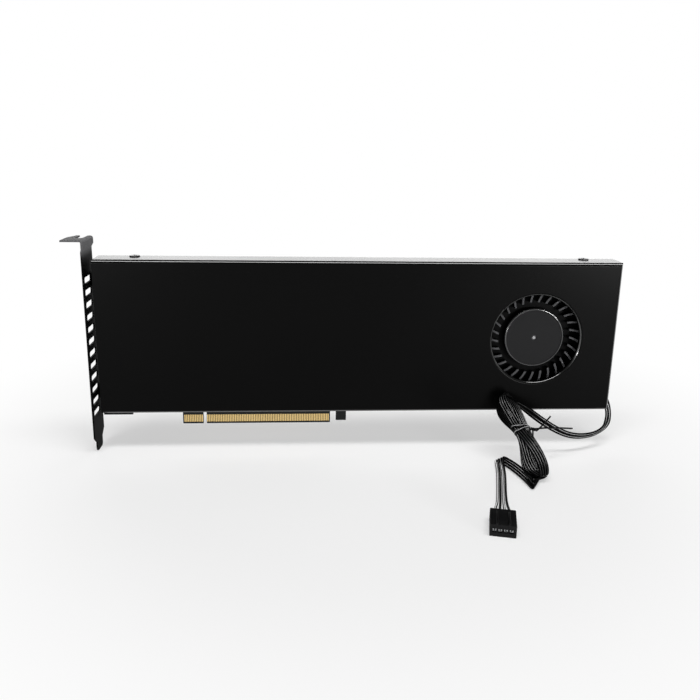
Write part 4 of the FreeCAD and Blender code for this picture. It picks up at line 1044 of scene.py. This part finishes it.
plug = add_block("fan_plug_housing", (0, -PLUG_HALF, 0), (PLUG_LENGTH, PLUG_HALF, PLUG_HEIGHT))
corner = (PLUG_HALF - NEAR) * MM
shape_edges(
    plug, lambda place: abs(place.y) > corner and place.x < NEAR * MM,
    lambda: bpy.ops.mesh.bevel(offset=PLUG_CORNER * MM, segments=4, affect="EDGES"),
)
shape_edges(
    plug, lambda place: True,
    lambda: bpy.ops.mesh.bevel(offset=PLUG_ROUNDING * MM, segments=2, affect="EDGES"),
)
for side in RIB_PLACES:
    low = (RIB_START, side - RIB_HALF, RIB_LOW)
    rib = add_block("guide_rib", low, (PLUG_LENGTH, side + RIB_HALF, RIB_HIGH))
    shape_edges(
        rib, lambda place: place.z > (RIB_HIGH - NEAR) * MM,
        lambda: bpy.ops.mesh.bevel(offset=RIB_ROUNDING * MM, segments=2, affect="EDGES"),
    )
    combine(plug, rib, "UNION")
print("plug housing faces:", len(plug.data.polygons))

# %% The plug's openings
PIN_PLACES = (-3.81, -1.27, 1.27, 3.81)
OPENING_HALF = 0.95
OPENING_DEPTH = 9.0
CUT_PAST = 1
WIRE_HOLE_RADIUS = 0.75
WIRE_HOLE_DEPTH = 1.6

middle = PLUG_HEIGHT / 2
for pin in PIN_PLACES:
    opening = add_block(
        "pin_opening",
        (PLUG_LENGTH - OPENING_DEPTH, pin - OPENING_HALF, middle - OPENING_HALF),
        (PLUG_LENGTH + CUT_PAST, pin + OPENING_HALF, middle + OPENING_HALF),
    )
    combine(plug, opening, "DIFFERENCE")
    bpy.ops.object.select_all(action="DESELECT")
    bpy.ops.mesh.primitive_cylinder_add(
        vertices=20, radius=WIRE_HOLE_RADIUS * MM, depth=WIRE_HOLE_DEPTH * MM,
        location=Vector((0, pin, middle)) * MM, rotation=(0, math.pi / 2, 0),
    )
    wire_hole = bpy.context.object
    bpy.ops.object.transform_apply(location=True, rotation=True, scale=True)
    combine(plug, wire_hole, "DIFFERENCE")
set_down(plug, Matrix.Translation(PLUG_REAR) @ Matrix.Rotation(PLUG_HEADING, 4, "Z"))
plug.data.materials.append(plug_plastic.material)
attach(plug, "card")
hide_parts("fan_plug")
print("plug faces:", len(plug.data.polygons))

# %% [markdown]
# Black pan-head screws hold the cover, the back plate, the blower and the bracket. One is modelled for
# each size of head: a short cylinder with a rounded rim, a shank drawn out of its underside and a cross
# recess cut by two tapered bars. It is then copied to its places, each copy turned a little differently,
# because no two screws are ever driven home to the same angle.

# %% One screw
SHANK_RADIUS = 1.25
RIM_SHARE = 0.55
RECESS_LENGTH = 1.15
RECESS_WIDTH = 0.26
RECESS_FLOOR = 0.25
RECESS_TAPER = 0.6
RECESS_PAST = 0.5


def recess_bar(width, length, low, high):
    """A bar of the cross recess, narrower at its bottom."""
    bar = add_block("recess_bar", (-length / 2, -width / 2, low), (length / 2, width / 2, high))
    bottom = Vector((0, 0, low * MM))
    taper = (RECESS_TAPER, RECESS_TAPER, 1)
    shape_faces(bar, (0, 0, -1), lambda: bpy.ops.transform.resize(value=taper, center_override=bottom))
    return bar


def pan_head(name, head_radius, rise, reach):
    """A screw whose head stands on the origin and whose shank goes down from there, in millimetres."""
    bpy.ops.object.select_all(action="DESELECT")
    bpy.ops.mesh.primitive_cylinder_add(
        vertices=40, radius=head_radius * MM, depth=rise * MM, location=(0, 0, rise / 2 * MM)
    )
    screw = bpy.context.object
    screw.name = name
    bpy.ops.object.transform_apply(location=True, rotation=True, scale=True)
    rim = (rise - NEAR) * MM
    shape_edges(
        screw, lambda place: place.z > rim,
        lambda: bpy.ops.mesh.bevel(offset=rise * RIM_SHARE * MM, segments=4, affect="EDGES"),
    )

    def draw_shank():
        bpy.ops.mesh.inset(thickness=(head_radius - SHANK_RADIUS) * MM)
        bpy.ops.mesh.extrude_region_move(TRANSFORM_OT_translate={"value": (0, 0, -reach * MM)})

    shape_faces(screw, (0, 0, -1), draw_shank)
    low = rise * RECESS_FLOOR
    length = head_radius * RECESS_LENGTH
    width = head_radius * RECESS_WIDTH
    high = rise + RECESS_PAST
    combine(screw, recess_bar(width, length, low, high), "DIFFERENCE")
    combine(screw, recess_bar(length, width, low, high), "DIFFERENCE")
    return screw


print("screw maker ready")

# %% The screws in their places
BACK = 4.2
BOARD_FRONT = -0.785
FIRST_TURN = 17
TURN_STEP = 37
UPWARDS = Matrix.Identity(4)
BACKWARDS = Matrix.Rotation(-math.pi / 2, 4, "X")
FORWARDS = Matrix.Rotation(math.pi / 2, 4, "X")
SCREW_SETS = [
    ("cover_screws", (2.9, 0.6, 1.9), UPWARDS, [(-35.5, 1.3, COVER_TOP), (216.9, 1.3, COVER_TOP)]),
    ("back_screws", (2.3, 1.0, 8.7), BACKWARDS, [
        (-44, BACK, 17), (-44, BACK, 88.3), (46.5, BACK, 17), (46.5, BACK, 88.3), (144, BACK, 17),
        (144, BACK, 88.3),
    ]),
    ("fan_screws", (2.3, 1.0, 8.4), BACKWARDS, [(216.9, BACK, 91.2), (216.9, BACK, 16), (160.9, BACK, 91.2)]),
    ("bracket_screws", (2.4, 1.5, 2.4), FORWARDS, [(-54.4, BOARD_FRONT, 20), (-54.4, BOARD_FRONT, 85)]),
]

for node_name, (head_radius, rise, reach), aim, places in SCREW_SETS:
    model = pan_head("screw_model", head_radius, rise, reach)
    copies = []
    for count, place in enumerate(places):
        turned = Matrix.Rotation(math.radians(FIRST_TURN + TURN_STEP * count), 4, "Z")
        copy = bpy.data.objects.new("screw_copy", model.data.copy())
        bpy.context.scene.collection.objects.link(copy)
        copy.data.transform(Matrix.Translation(Vector(place) * MM) @ aim @ turned)
        copies.append(copy)
    bpy.data.objects.remove(model)
    only(copies[0])
    for copy in copies:
        copy.select_set(True)
    bpy.ops.object.join()
    screws = copies[0]
    screws.name = "cross_" + node_name
    set_down(screws, Matrix.Identity(4))
    screws.data.materials.append(screw_black.material)
    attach(screws, "card")
    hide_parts(node_name)
    print(node_name, len(places), "screws,", len(screws.data.polygons), "faces")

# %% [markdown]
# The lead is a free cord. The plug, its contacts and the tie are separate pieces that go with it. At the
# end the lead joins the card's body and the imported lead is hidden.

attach(lead, "card")
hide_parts("fan_lead", "lead_hank", "lead_tail")
